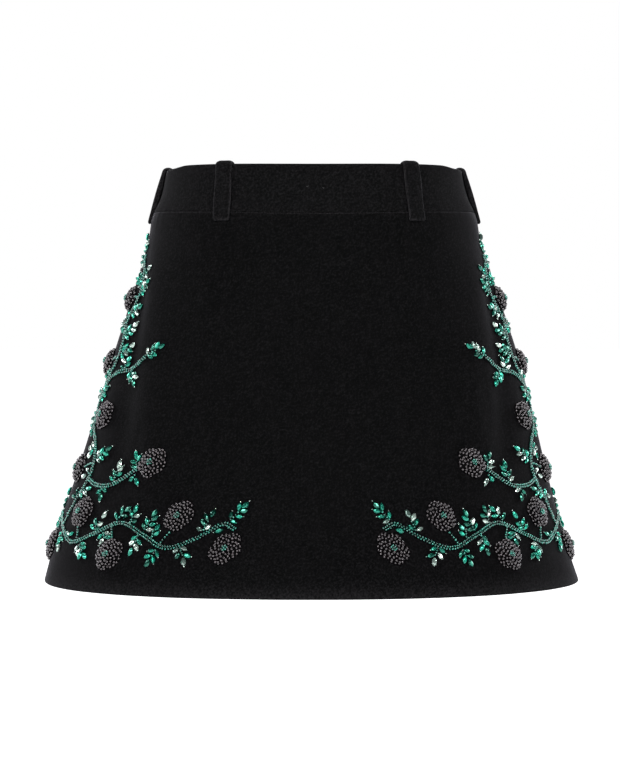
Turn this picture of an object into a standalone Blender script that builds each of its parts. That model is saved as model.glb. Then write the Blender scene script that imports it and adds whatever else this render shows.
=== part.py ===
"""An A-line velvet mini skirt, filled out and hollow, as it hangs from the wearer's waist.

Metres, +Z up, +X to the right of someone who faces the front, and the front towards -Y. The origin is the
centre of the waistband, halfway up it. The skirt is three panels and a three-piece waistband, with six belt
loops, beaded flowers that climb beside both side seams and run along the hem, and a concealed zip at the
centre back.
"""

from collections import namedtuple
from itertools import product
from math import cos, pi, radians, sin

import bmesh
import bpy
import numpy as np
from mathutils import Matrix, Vector

# ---- driving dimensions ----
BAND_TOP_Z = 0.0215
SEAM_Z = -0.0215  # waist seam at the centre front
SEAM_RISE = 0.0035  # how much higher the waist seam is at the sides
HEM_Z = -0.347

PANEL_THICK = 0.0022  # velvet and its turned-in edges
BAND_THICK = 0.0032  # a folded, interfaced band
SEAM_GAP = 0.0003
LYING_GAP = 0.0004  # under what lies on a panel, over the facets of its curve

# The outer face at each height: half-widths to the left and right of the centre line, depths to the front and
# to the back of the side seams, and how square the ring is on each side (2 is an ellipse).
Level = namedtuple("Level", "z left right front back square_left square_right")
LEVELS = [
    Level(0.0230, 0.1327, 0.1327, 0.0925, 0.0945, 2.60, 2.60),
    Level(0.0100, 0.1343, 0.1343, 0.0945, 0.0970, 2.60, 2.60),
    Level(-0.0050, 0.1370, 0.1376, 0.0965, 0.0995, 2.60, 2.60),
    Level(-0.0165, 0.1425, 0.1428, 0.0990, 0.1025, 2.55, 2.55),
    Level(-0.0255, 0.1456, 0.1460, 0.1012, 0.1055, 2.50, 2.50),
    Level(-0.0350, 0.1470, 0.1476, 0.1034, 0.1085, 2.45, 2.45),
    Level(-0.0470, 0.1494, 0.1500, 0.1052, 0.1120, 2.42, 2.42),
    Level(-0.0660, 0.1550, 0.1566, 0.1076, 0.1165, 2.38, 2.38),
    Level(-0.0985, 0.1650, 0.1675, 0.1120, 0.1230, 2.32, 2.30),
    Level(-0.1530, 0.1825, 0.1855, 0.1200, 0.1320, 2.24, 2.22),
    Level(-0.1860, 0.1925, 0.1940, 0.1254, 0.1360, 2.21, 2.18),
    Level(-0.2500, 0.2128, 0.2095, 0.1354, 0.1425, 2.20, 2.14),
    Level(-0.3070, 0.2318, 0.2248, 0.1452, 0.1480, 2.24, 2.12),
    Level(-0.3500, 0.2435, 0.2390, 0.1530, 0.1515, 2.28, 2.14),
]

# Soft drape lines, on both sides of the body alike: where each is, along the cloth from the side seam, at its
# top and its foot, its half-width, and how far it stands out (a trough is negative).
Fold = namedtuple("Fold", "face top_z top_s foot_z foot_s half_width height")
FOLDS = [
    Fold("front", -0.040, 0.032, -0.265, 0.108, 0.015, -0.0042),
    Fold("front", -0.036, 0.050, -0.265, 0.130, 0.017, 0.0020),
    Fold("back", -0.050, 0.036, -0.280, 0.106, 0.017, -0.0040),
    Fold("back", -0.046, 0.056, -0.280, 0.130, 0.018, 0.0022),
    Fold("back", -0.150, 0.180, -0.349, 0.205, 0.030, 0.0025),
]
FOLD_FADE = 0.060  # the height over which a fold runs out at each end

# How the panels and the waistband are cut: the name's ending, the face, and the half or halves each spans.
CLOTH_PIECES = (("front", "front", "both"), ("back_left", "back", -1), ("back_right", "back", 1))

COLUMNS = 20  # from a side seam to the centre
COLUMN_CROWDING = 1.2  # above 1, the columns stand closer together by the side seam, where the folds are
PANEL_ROWS = 13
ROW_CROWDING = 1.2  # above 1, the rows stand closer together towards the top, where the hip is round
BAND_ROWS = 4
TURNED_EDGE = 0.3  # the rounding of a turned edge, as a share of the thickness
RING_SAMPLES = 60

# Belt loops: the place of each along the waistband, as x at the band's outer face. Those at the sides are on
# the side seams.
LOOP_WIDTH = 0.0150
LOOP_THICK = 0.0030
LOOP_BELOW_SEAM = 0.0060
LOOP_INSIDE = 0.0090  # how far its upper end reaches down inside the band
LOOP_BEND_Z = BAND_TOP_Z - 0.0015  # where it starts to bend over the band's edge
LOOP_BEND_STEPS = 6
LOOP_DROP_STEPS = 5
LOOP_BOW = 0.0006  # how far it bows out between its ends
LOOP_FOOT_RISE = 0.0040  # the stretch of cloth under its foot that it has to clear
LoopPlace = namedtuple("LoopPlace", "name face x lean")
LOOP_PLACES = [
    LoopPlace("front_left", "front", -0.0800, 0.0),
    LoopPlace("front_right", "front", 0.0880, radians(4)),
    LoopPlace("side_left", "side", -0.1370, 0.0),
    LoopPlace("side_right", "side", 0.1370, 0.0),
    LoopPlace("back_left", "back", -0.0780, 0.0),
    LoopPlace("back_right", "back", 0.0780, 0.0),
]

# Beaded flowers, on each side of the body and alike on the front and the back: how far the centre of each is
# from the side seam, along the cloth, and above the hem, its radius, and the turn of its petals.
FlowerPlace = namedtuple("FlowerPlace", "from_seam above_hem radius turn")
FLOWER_PLACES = [
    FlowerPlace(0.022, 0.033, 0.0140, 0.2),
    FlowerPlace(0.074, 0.066, 0.0140, 0.9),
    FlowerPlace(0.126, 0.033, 0.0140, 0.0),
    FlowerPlace(0.178, 0.068, 0.0135, 0.6),
    FlowerPlace(0.230, 0.042, 0.0140, 0.4),
    FlowerPlace(0.034, 0.102, 0.0135, 0.7),
    FlowerPlace(0.134, 0.112, 0.0135, 0.3),
    FlowerPlace(0.054, 0.150, 0.0130, 0.1),
    FlowerPlace(0.019, 0.196, 0.0125, 0.5),
    FlowerPlace(0.024, 0.252, 0.0115, 0.8),
]
PETALS = 5
FLOWER_HEIGHT = 0.0062
FLOWER_EDGE = 0.0018
PETAL_NOTCH = 0.17  # how far the outline draws in between petals, as a share of the radius
PETAL_GROOVE = 0.22  # how far the top sinks between petals, as a share of its height
PETAL_BLUNTNESS = 0.7  # below 1, a petal's tip is rounder
SIDES_TO_A_PETAL = 4
FLOWER_RINGS = 6

# The zip's slider and pull tab, on the outside of the waistband at the centre back.
ZIP_TOP_Z = 0.0165
SLIDER_WIDTH = 0.0056
SLIDER_HEIGHT = 0.0070
SLIDER_BASE = 0.0008
CHEEK_WIDTH = 0.0007
CHEEK_REACH = 0.0012  # past the middle of the pin, all round
PIN_RADIUS = 0.0005
PIN_CLEARANCE = 0.0003
BARREL_RADIUS = 0.0014
BARREL_WIDTH = 0.0034
TAB_LENGTH = 0.0170
TAB_WIDTH = 0.0024
TAB_THICK = 0.0010
TAB_END_RADIUS = 0.0026
TAB_END_THICK = 0.0012
ROUND_SIDES = 16

VELVET = ("velvet", (0.006, 0.006, 0.007), 0.9, 0.0)
BEADS = ("dark_beads", (0.030, 0.022, 0.026), 0.25, 0.0)
METAL = ("zip_metal", (0.030, 0.030, 0.032), 0.35, 0.9)


# ---- the outer face of the cloth ----
def smooth_step(value):
    value = np.clip(value, 0.0, 1.0)
    return value * value * (3 - 2 * value)


def level_at(z):
    """The level at any height, on a smooth curve through the table."""
    heights = [level.z for level in LEVELS]
    above = min(max(int(np.searchsorted([-h for h in heights], -z)) - 1, 0), len(LEVELS) - 2)
    span = heights[above + 1] - heights[above]
    t = (z - heights[above]) / span
    values = np.array(LEVELS)

    def slope(i):
        low, high = max(i - 1, 0), min(i + 1, len(LEVELS) - 1)
        return (values[high] - values[low]) / (heights[high] - heights[low]) * span

    here, there = values[above], values[above + 1]
    mixed = (
        here * (2 * t**3 - 3 * t**2 + 1)
        + slope(above) * (t**3 - 2 * t**2 + t)
        + there * (3 * t**2 - 2 * t**3)
        + slope(above + 1) * (t**3 - t**2)
    )
    return Level(*mixed)


def quarter(side, face, z):
    """Points of a quarter ring from the side seam to the centre line, each point's way along it, and normals.

    side is -1 for the left and 1 for the right.
    """
    level = level_at(z)
    wide, square = (
        (level.left, level.square_left) if side < 0 else (level.right, level.square_right)
    )
    deep = level.front if face == "front" else level.back
    towards = -1 if face == "front" else 1
    turn = np.linspace(0, pi / 2, RING_SAMPLES)
    x = side * wide * np.cos(turn) ** (2 / square)
    y = towards * deep * np.sin(turn) ** (2 / square)
    along = np.concatenate([[0], np.cumsum(np.hypot(np.diff(x), np.diff(y)))])
    tangent = np.stack([np.gradient(x), np.gradient(y)], axis=1)
    tangent[0], tangent[-1] = (0, towards), (-side, 0)
    tangent /= np.linalg.norm(tangent, axis=1)[:, None]
    outward = np.stack([tangent[:, 1], -tangent[:, 0]], axis=1) * (-side * -towards)
    push = np.zeros(RING_SAMPLES)
    for fold in FOLDS:
        if fold.face != face:
            continue
        drop = np.clip((z - fold.top_z) / (fold.foot_z - fold.top_z), 0, 1)
        middle = fold.top_s + (fold.foot_s - fold.top_s) * drop
        strength = smooth_step((fold.top_z - z) / FOLD_FADE) * smooth_step((z - fold.foot_z) / FOLD_FADE)
        push += fold.height * strength * np.exp(-(((along - middle) / fold.half_width) ** 2))
    x = x + outward[:, 0] * push
    y = y + outward[:, 1] * push
    return np.stack([x, y], axis=1), along, outward


def cloth_point(side, face, way, z, out=0.0):
    """A point on the outer face, way along the cloth from the side seam, and moved out of it by out."""
    ring, along, outward = quarter(side, face, z)
    x, y = [np.interp(way, along, ring[:, k]) for k in (0, 1)]
    normal = Vector([np.interp(way, along, outward[:, k]) for k in (0, 1)]).normalized()
    return Vector((x + normal.x * out, y + normal.y * out, z))


def seam_height(centre_share):
    """The waist seam's height, from the side seam (0) to the centre (1)."""
    return SEAM_Z + SEAM_RISE * (1 - smooth_step(centre_share))


# ---- solids ----
def material(name, colour, roughness, metallic):
    made = bpy.data.materials.get(name)
    if made is None:
        made = bpy.data.materials.new(name)
        made.use_nodes = True
        shader = made.node_tree.nodes["Principled BSDF"]
        shader.inputs["Base Color"].default_value = (*colour, 1.0)
        shader.inputs["Roughness"].default_value = roughness
        shader.inputs["Metallic"].default_value = metallic
    return made


def add_object(name, bm, finish, collection):
    bmesh.ops.recalc_face_normals(bm, faces=bm.faces[:])
    if bm.calc_volume(signed=True) < 0:
        bmesh.ops.reverse_faces(bm, faces=bm.faces[:])
    mesh = bpy.data.meshes.new(name)
    bm.to_mesh(mesh)
    bm.free()
    made = bpy.data.objects.new(name, mesh)
    mesh.materials.append(material(*finish))
    mesh.shade_smooth()
    mesh.set_sharp_from_angle(angle=radians(40))
    collection.objects.link(made)
    return made


def cloth_sheet(name, columns, rows, place, thick, collection):
    """A sheet of cloth with rounded edges, laid out by place(column, row, depth under its outer face)."""
    bm = bmesh.new()
    bmesh.ops.create_grid(bm, x_segments=len(columns) - 1, y_segments=len(rows) - 1, size=0.5)
    across, down = len(columns) - 1, len(rows) - 1
    grown = bmesh.ops.extrude_face_region(bm, geom=bm.faces[:])["geom"]
    inner = {item for item in grown if isinstance(item, bmesh.types.BMVert)}
    for vert in bm.verts:
        column, row = round((vert.co.x + 0.5) * across), round((vert.co.y + 0.5) * down)
        vert.co = place(columns[column], rows[row], thick if vert in inner else 0.0)
    sheet = add_object(name, bm, VELVET, collection)
    edges = sheet.modifiers.new("turned_edges", "BEVEL")
    edges.width = thick * TURNED_EDGE
    edges.segments = 1
    edges.limit_method = "ANGLE"
    edges.angle_limit = radians(60)


# ---- panels and waistband ----
def cloth_columns(halves):
    """(side, share of the way to the centre) across a piece that spans both halves, or one."""
    shares = [share**COLUMN_CROWDING for share in np.linspace(0, 1, COLUMNS + 1)]
    if halves == "both":
        return [(-1, share) for share in shares] + [(1, share) for share in reversed(shares[:-1])]
    return [(halves, share) for share in shares]


def cloth_pieces(kind, top, foot, row_count, thick, collection):
    """The front piece and the two back ones, kept back from each other by half the gap at each seam.

    top and foot give a piece's edges by the share of the way to the centre.
    """
    for name, face, halves in CLOTH_PIECES:

        def place(column, row, depth):
            side, share = column
            z = top(share) + (foot(share) - top(share)) * row
            _, along, _ = quarter(side, face, z)
            at_centre = 0 if halves == "both" else SEAM_GAP / 2
            low, high = SEAM_GAP / 2, along[-1] - at_centre
            return cloth_point(side, face, low + (high - low) * share, z, -depth)

        rows = np.linspace(0, 1, row_count + 1) ** ROW_CROWDING
        cloth_sheet(f"{kind}_{name}", cloth_columns(halves), rows, place, thick, collection)


def make_panels(collection):
    cloth_pieces(
        "panel", lambda share: seam_height(share) - SEAM_GAP / 2, lambda share: HEM_Z,
        PANEL_ROWS, PANEL_THICK, collection,
    )


def make_waistband(collection):
    cloth_pieces(
        "waistband", lambda share: BAND_TOP_Z, lambda share: seam_height(share) + SEAM_GAP / 2,
        BAND_ROWS, BAND_THICK, collection,
    )


# ---- belt loops ----
def loop_surface(place):
    """The cloth's outer face down the middle of a belt loop, as a function of height."""
    side = -1 if place.x < 0 else 1
    if place.face == "side":
        return lambda z: cloth_point(side, "front", 0.0, z)

    def surface(z):
        ring, along, _ = quarter(side, place.face, z)
        inside_out = np.argsort(np.abs(ring[:, 0]))
        way = np.interp(abs(place.x), np.abs(ring[inside_out, 0]), along[inside_out])
        return cloth_point(side, place.face, way, z)

    return surface


def loop_outward(place):
    """The way out of the cloth at the middle of a belt loop."""
    surface = loop_surface(place)
    middle = surface(0.0)
    if place.face == "side":
        return Vector((middle.x, 0, 0)).normalized()
    side = -1 if place.x < 0 else 1
    ring, _, outward = quarter(side, place.face, 0.0)
    nearest = np.argmin(np.abs(ring[:, 0] - middle.x))
    return Vector((*outward[nearest], 0)).normalized()


def loop_path(out_at):
    """The middle of a belt loop in its own upright plane, as (out, z), from inside over the top to its foot.

    out_at gives how far out the cloth's outer face is at a height.
    """
    lift = LYING_GAP + LOOP_THICK / 2
    outer = out_at(BAND_TOP_Z) + lift
    inner = out_at(BAND_TOP_Z) - BAND_THICK - lift
    foot_z = SEAM_Z - LOOP_BELOW_SEAM
    foot_out = max(out_at(foot_z), out_at(foot_z + LOOP_FOOT_RISE)) + lift
    crown = BAND_TOP_Z + lift - LOOP_BEND_Z
    path = [(inner, BAND_TOP_Z - LOOP_INSIDE)]
    for turn in np.linspace(pi, 0, LOOP_BEND_STEPS + 1):
        path.append(((inner + outer) / 2 + (outer - inner) / 2 * cos(turn), LOOP_BEND_Z + crown * sin(turn)))
    for drop in np.linspace(0, 1, LOOP_DROP_STEPS + 1)[1:]:
        z = LOOP_BEND_Z + (foot_z - LOOP_BEND_Z) * drop
        straight = outer + (foot_out - outer) * drop
        path.append((max(straight, out_at(z) + lift) + LOOP_BOW * sin(pi * drop), z))
    return path


def make_belt_loop(place, collection):
    surface = loop_surface(place)
    outward = loop_outward(place)
    across = Vector((0, 0, 1)).cross(outward)
    base = surface(0.0)
    path = np.array(loop_path(lambda z: (surface(z) - base).dot(outward)))
    ahead = np.gradient(path, axis=0)
    ahead /= np.linalg.norm(ahead, axis=1)[:, None]

    def laid(column, row, depth):
        lift = LOOP_THICK / 2 - depth
        out, z = path[row] + np.array((-ahead[row, 1], ahead[row, 0])) * lift
        sideways = column * LOOP_WIDTH / 2 + z * sin(place.lean)
        return base + outward * out + across * sideways + Vector((0, 0, z))

    cloth_sheet("belt_loop_" + place.name, [-1, 1], range(len(path)), laid, LOOP_THICK, collection)


# ---- beaded flowers ----
def petal_lobe(angle):
    """1 along the middle of a petal and 0 between two, with a round tip."""
    return abs(sin(PETALS * angle / 2)) ** PETAL_BLUNTNESS


def make_flower(name, side, face, place, collection):
    """A padded flower: a sphere, its lower half pressed flat onto the cloth and its upper half the petals."""
    bm = bmesh.new()
    bmesh.ops.create_uvsphere(bm, u_segments=PETALS * SIDES_TO_A_PETAL, v_segments=FLOWER_RINGS, radius=1.0)
    for vert in bm.verts:
        angle = np.arctan2(vert.co.y, vert.co.x)
        spread = min(Vector((vert.co.x, vert.co.y)).length, 1.0)
        between = (1 - petal_lobe(angle)) * spread
        reach = place.radius * spread * (1 - PETAL_NOTCH * between)
        crown = max(vert.co.z, 0.0) * (1 - PETAL_GROOVE * between)
        out = LYING_GAP
        if vert.co.z > -0.01:
            out += FLOWER_EDGE + (FLOWER_HEIGHT - FLOWER_EDGE) * crown
        away = place.from_seam + reach * cos(angle + place.turn)
        z = HEM_Z + place.above_hem + reach * sin(angle + place.turn)
        vert.co = cloth_point(side, face, away, z, out)
    add_object(name, bm, BEADS, collection)


def make_flowers(collection):
    for face, (side_name, side) in product(("front", "back"), (("left", -1), ("right", 1))):
        for number, place in enumerate(FLOWER_PLACES, start=1):
            make_flower(f"flower_{face}_{side_name}_{number:02d}", side, face, place, collection)


# ---- zip ----
def box_mesh(low, high):
    bm = bmesh.new()
    size = Vector(high) - Vector(low)
    centre = (Vector(high) + Vector(low)) / 2
    bmesh.ops.create_cube(bm, size=1.0, matrix=Matrix.Translation(centre) @ Matrix.Diagonal((*size, 1.0)))
    return bm


def rod_mesh(radius, length, axis="X", centre=(0, 0, 0)):
    """A round rod along X or Y."""
    turn = Matrix.Rotation(pi / 2, 4, "Y" if axis == "X" else "X")
    bm = bmesh.new()
    bmesh.ops.create_cone(
        bm, cap_ends=True, segments=ROUND_SIDES, radius1=radius, radius2=radius, depth=length,
        matrix=Matrix.Translation(centre) @ turn,
    )
    return bm


def combine(target, name, bm, operation, cutters):
    """Join a helper to a piece, or cut it away, where it stands in the piece's own frame."""
    helper = add_object(name, bm, METAL, cutters)
    helper.parent = target.parent
    helper.hide_render = True
    helper.display_type = "WIRE"
    step = target.modifiers.new(name, "BOOLEAN")
    step.operation = operation
    step.object = helper
    step.solver = "EXACT"


def zip_holder(collection):
    """An empty on the slider's pin at the centre back, leaning as the band does over the tab's length."""

    def face_y(z):
        _, along, _ = quarter(1, "back", z)
        return cloth_point(1, "back", along[-1], z).y

    lean = np.arctan2(face_y(ZIP_TOP_Z - TAB_LENGTH) - face_y(ZIP_TOP_Z), TAB_LENGTH)
    away = LYING_GAP + SLIDER_BASE + PIN_CLEARANCE + BARREL_RADIUS
    holder = bpy.data.objects.new("zip_holder", None)
    holder.location = (0.0, face_y(ZIP_TOP_Z) + away / cos(lean), ZIP_TOP_Z)
    holder.rotation_euler = (lean, 0.0, 0.0)
    collection.objects.link(holder)
    return holder


def make_slider(holder, collection, cutters):
    """A base plate with two cheeks and the pin that the tab hangs on. Its origin is on the pin."""
    plate_back = -(SLIDER_BASE + PIN_CLEARANCE + BARREL_RADIUS)
    half_wide, half_tall = SLIDER_WIDTH / 2, SLIDER_HEIGHT / 2
    base = box_mesh((-half_wide, plate_back, -half_tall), (half_wide, plate_back + SLIDER_BASE, half_tall))
    slider = add_object("zip_slider", base, METAL, collection)
    slider.parent = holder
    for name, left in (("left", -half_wide), ("right", half_wide - CHEEK_WIDTH)):
        low = (left, plate_back + SLIDER_BASE / 2, -CHEEK_REACH)
        high = (left + CHEEK_WIDTH, CHEEK_REACH, CHEEK_REACH)
        combine(slider, "slider_cheek_" + name, box_mesh(low, high), "UNION", cutters)
    pin = rod_mesh(PIN_RADIUS, SLIDER_WIDTH - CHEEK_WIDTH)
    combine(slider, "slider_pin", pin, "UNION", cutters)


def make_pull(holder, collection, cutters):
    """A barrel round the pin, with a flat tab that ends in a round drop. Its origin is on the pin."""
    pull = add_object("zip_pull", rod_mesh(BARREL_RADIUS, BARREL_WIDTH), METAL, collection)
    pull.parent = holder
    drop_z = -TAB_LENGTH + TAB_END_RADIUS
    half_wide, half_thick = TAB_WIDTH / 2, TAB_THICK / 2
    neck = box_mesh((-half_wide, -half_thick, drop_z), (half_wide, half_thick, -BARREL_RADIUS / 2))
    drop = rod_mesh(TAB_END_RADIUS, TAB_END_THICK, axis="Y", centre=(0, 0, drop_z))
    bore = rod_mesh(PIN_RADIUS + PIN_CLEARANCE, BARREL_WIDTH * 2)
    combine(pull, "tab_neck", neck, "UNION", cutters)
    combine(pull, "tab_drop", drop, "UNION", cutters)
    combine(pull, "tab_bore", bore, "DIFFERENCE", cutters)


def clear_scene():
    for item in list(bpy.data.objects):
        bpy.data.objects.remove(item, do_unlink=True)


def main():
    clear_scene()
    skirt = bpy.data.collections.new("mini_skirt")
    cutters = bpy.data.collections.new("cutters")
    for collection in (skirt, cutters):
        bpy.context.scene.collection.children.link(collection)
    make_panels(skirt)
    make_waistband(skirt)
    for place in LOOP_PLACES:
        make_belt_loop(place, skirt)
    make_flowers(skirt)
    holder = zip_holder(skirt)
    make_slider(holder, skirt, cutters)
    make_pull(holder, skirt, cutters)


main()
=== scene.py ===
import math

import bmesh
import bpy
import numpy as np
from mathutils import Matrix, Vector


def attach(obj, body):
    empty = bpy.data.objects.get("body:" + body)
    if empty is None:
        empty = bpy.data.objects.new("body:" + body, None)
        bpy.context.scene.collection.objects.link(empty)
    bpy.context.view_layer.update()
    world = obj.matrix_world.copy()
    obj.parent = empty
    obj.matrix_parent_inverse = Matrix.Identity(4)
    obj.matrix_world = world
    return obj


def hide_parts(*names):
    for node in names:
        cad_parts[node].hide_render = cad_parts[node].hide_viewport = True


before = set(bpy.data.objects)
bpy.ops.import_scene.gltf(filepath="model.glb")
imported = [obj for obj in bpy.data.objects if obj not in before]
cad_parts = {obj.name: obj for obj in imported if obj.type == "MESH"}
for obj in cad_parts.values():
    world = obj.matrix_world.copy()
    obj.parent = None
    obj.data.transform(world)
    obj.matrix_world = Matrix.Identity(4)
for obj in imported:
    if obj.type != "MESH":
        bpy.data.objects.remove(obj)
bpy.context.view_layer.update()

chance = np.random.default_rng(41)
print("frame loaded:", len(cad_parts), "nodes")

# Velvet mini skirt. Metres, front towards -Y. Most places are given as "way", the distance along the cloth
# from a side seam, and a height. A side is -1 (left) or 1 (right), and a face is "front" or "back".

skirtForm = {
    "bandTop": 0.0215,
    "topDip": (0.0018, 0.24, 0.13),  # how much lower the band's top is at the sides, how far, and its fading
    "topSwell": 0.0005,  # how much higher it is between the side and the centre
    "seam": -0.0215,  # waist seam at the centre
    "seamRise": 0.0035,  # how much higher it is at the side seams
    "hem": -0.347,
    # height, half-width left and right, depth to the front and back, squareness left and right (2 is round)
    "levels": [
        (0.0230, 0.1312, 0.1312, 0.0925, 0.0945, 2.60, 2.60),
        (0.0100, 0.1330, 0.1330, 0.0945, 0.0970, 2.60, 2.60),
        (-0.0050, 0.1364, 0.1370, 0.0965, 0.0995, 2.60, 2.60),
        (-0.0165, 0.1425, 0.1428, 0.0990, 0.1025, 2.55, 2.55),
        (-0.0255, 0.1456, 0.1460, 0.1012, 0.1055, 2.50, 2.50),
        (-0.0350, 0.1470, 0.1476, 0.1034, 0.1085, 2.45, 2.45),
        (-0.0470, 0.1494, 0.1500, 0.1052, 0.1120, 2.42, 2.42),
        (-0.0660, 0.1550, 0.1566, 0.1076, 0.1165, 2.38, 2.38),
        (-0.0985, 0.1650, 0.1675, 0.1120, 0.1230, 2.32, 2.30),
        (-0.1530, 0.1825, 0.1855, 0.1200, 0.1320, 2.24, 2.22),
        (-0.1860, 0.1925, 0.1940, 0.1254, 0.1360, 2.21, 2.18),
        (-0.2500, 0.2128, 0.2095, 0.1354, 0.1425, 2.20, 2.14),
        (-0.3070, 0.2318, 0.2248, 0.1452, 0.1480, 2.24, 2.12),
        (-0.3500, 0.2435, 0.2390, 0.1530, 0.1515, 2.28, 2.14),
    ],
    # face, side (0 for both), height and way at the top, the same at the foot, half-width, how far it stands
    # out, and over what height it fades
    "folds": [
        ("front", 0, -0.040, 0.032, -0.265, 0.108, 0.0150, -0.0036, 0.060),
        ("front", 0, -0.036, 0.050, -0.265, 0.130, 0.0190, 0.0013, 0.060),
        ("back", 0, -0.050, 0.036, -0.280, 0.106, 0.0170, -0.0040, 0.060),
        ("back", 0, -0.046, 0.056, -0.280, 0.130, 0.0180, 0.0022, 0.060),
        ("back", 0, -0.150, 0.180, -0.349, 0.205, 0.0300, 0.0025, 0.060),
        ("front", -1, -0.196, 0.104, -0.256, 0.121, 0.0060, -0.0011, 0.020),
        ("front", -1, -0.205, 0.125, -0.300, 0.150, 0.0140, 0.0009, 0.035),
        ("front", 1, -0.150, 0.092, -0.222, 0.112, 0.0070, -0.0009, 0.025),
        ("front", 1, -0.230, 0.135, -0.330, 0.155, 0.0160, 0.0010, 0.040),
        ("front", -1, -0.024, 0.118, -0.060, 0.104, 0.0070, 0.0006, 0.014),
        ("front", 1, -0.024, 0.100, -0.052, 0.112, 0.0060, -0.0005, 0.012),
        ("back", -1, -0.120, 0.118, -0.230, 0.138, 0.0090, -0.0012, 0.035),
        ("back", 1, -0.170, 0.128, -0.290, 0.146, 0.0100, -0.0013, 0.040),
        ("back", -1, -0.026, 0.140, -0.090, 0.128, 0.0100, -0.0010, 0.024),
        ("back", 1, -0.026, 0.132, -0.074, 0.142, 0.0085, -0.0008, 0.020),
    ],
    "drift": 0.00028,  # how far the cloth wavers everywhere below the band
    "driftFrom": (-0.02, 0.05),  # the height where that starts, and how far it takes
    # the two crossing waves of each waver, as turns by way, by height and by quarter
    "slowWaves": ((41, 13, 1), (-9, 34, 2)),
    "quickWaves": ((118, 23, -1), (17, 61, 1)),
    "quickShare": 0.45,
    "heldAt": (0.02, 0.03),  # how far from the side and the centre seams the cloth is held
    "pucker": 0.00022,  # how far it is gathered up by the stitches of a seam
    "puckerReach": 0.011,
    "sidePucker": 0.8,  # of that, along the side seams
    "waistGathers": (730, 1.3, 210, 57),
    "sideGathers": (560, 1.1, 160, 43),
    "gridStep": 0.0015,
    "gridReach": 0.375,
    "gridPast": (0.0045, 0.004),  # beyond the band's top and the hem
    "arcSteps": 180,
}
quarters = [(side, face) for side in (-1, 1) for face in ("front", "back")]


def unit(vectors):
    return vectors / np.linalg.norm(vectors, axis=-1)[..., None]


def squareTo(along, vectors):
    # unit vectors as near as may be to those given, at right angles to along
    return unit(vectors - along * np.sum(vectors * along, axis=-1)[..., None])


def smoothStep(value):
    value = np.clip(value, 0.0, 1.0)
    return value * value * (3 - 2 * value)


def levelsAt(heights):
    # the form at any heights, on a smooth curve through its table
    rows = np.array(skirtForm["levels"])
    known, values = rows[:, 0], rows[:, 1:]
    before = np.clip(np.arange(len(rows)) - 1, 0, None)
    after = np.clip(np.arange(len(rows)) + 1, None, len(rows) - 1)
    slopes = (values[after] - values[before]) / (known[after] - known[before])[:, None]
    at = np.clip(np.searchsorted(-known, -heights) - 1, 0, len(rows) - 2)
    span = (known[at + 1] - known[at])[:, None]
    t = (heights - known[at])[:, None] / span
    mixed = values[at] * (2 * t**3 - 3 * t**2 + 1) + slopes[at] * span * (t**3 - 2 * t**2 + t)
    return mixed + values[at + 1] * (3 * t**2 - 2 * t**3) + slopes[at + 1] * span * (t**3 - t**2)


def bandTopAt(share):
    # the band's top edge dips towards the side seams
    deep, far, fade = skirtForm["topDip"]
    swell = skirtForm["topSwell"] * np.sin(math.pi * share) ** 2
    return skirtForm["bandTop"] + swell - deep * (1 - smoothStep((share - far) / fade))


def seamHeight(share):
    # the waist seam, from the side seam (0) to the centre (1)
    return skirtForm["seam"] + skirtForm["seamRise"] * (1 - smoothStep(share))


def wavesOf(kind, way, height, turn):
    first, second = [np.sin(way * a + height * b + turn * c) for a, b, c in skirtForm[kind]]
    return first * second


def gathersOf(kind, along, turn, slowTurn):
    quick, wander, bend, slow = skirtForm[kind]
    uneven = 0.6 + 0.4 * np.sin(along * slow + slowTurn)
    return np.sin(along * quick + wander * np.sin(along * bend + turn)) * uneven


def standOut(side, face, way, height, reach):
    # how far folds, seams and slack push the cloth out at each place
    form = skirtForm
    out = np.zeros(way.shape)
    for foldFace, foldSide, topZ, topWay, footZ, footWay, halfWidth, high, fade in form["folds"]:
        if foldFace == face and foldSide in (0, side):
            drop = np.clip((height - topZ) / (footZ - topZ), 0, 1)
            middle = topWay + (footWay - topWay) * drop
            strength = smoothStep((topZ - height) / fade) * smoothStep((height - footZ) / fade)
            out += high * strength * np.exp(-(((way - middle) / halfWidth) ** 2))
    turn = 1.7 * side + (0.6 if face == "front" else 2.9)
    waver = wavesOf("slowWaves", way, height, turn)
    waver += form["quickShare"] * wavesOf("quickWaves", way, height, turn)
    start, fade = form["driftFrom"]
    atSide, atCentre = form["heldAt"]  # faces and sides meet where held is 0
    held = smoothStep(way / atSide) * smoothStep((reach - way) / atCentre)
    out += form["drift"] * waver * smoothStep((start - height) / fade) * held
    nearWaist = np.exp(-np.abs(height - seamHeight(way / reach)) / form["puckerReach"])
    out += form["pucker"] * gathersOf("waistGathers", way, turn, turn) * held * nearWaist
    nearSide = np.exp(-way / form["puckerReach"])
    return out + form["sidePucker"] * form["pucker"] * gathersOf("sideGathers", height, -side, 0) * nearSide


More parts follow.
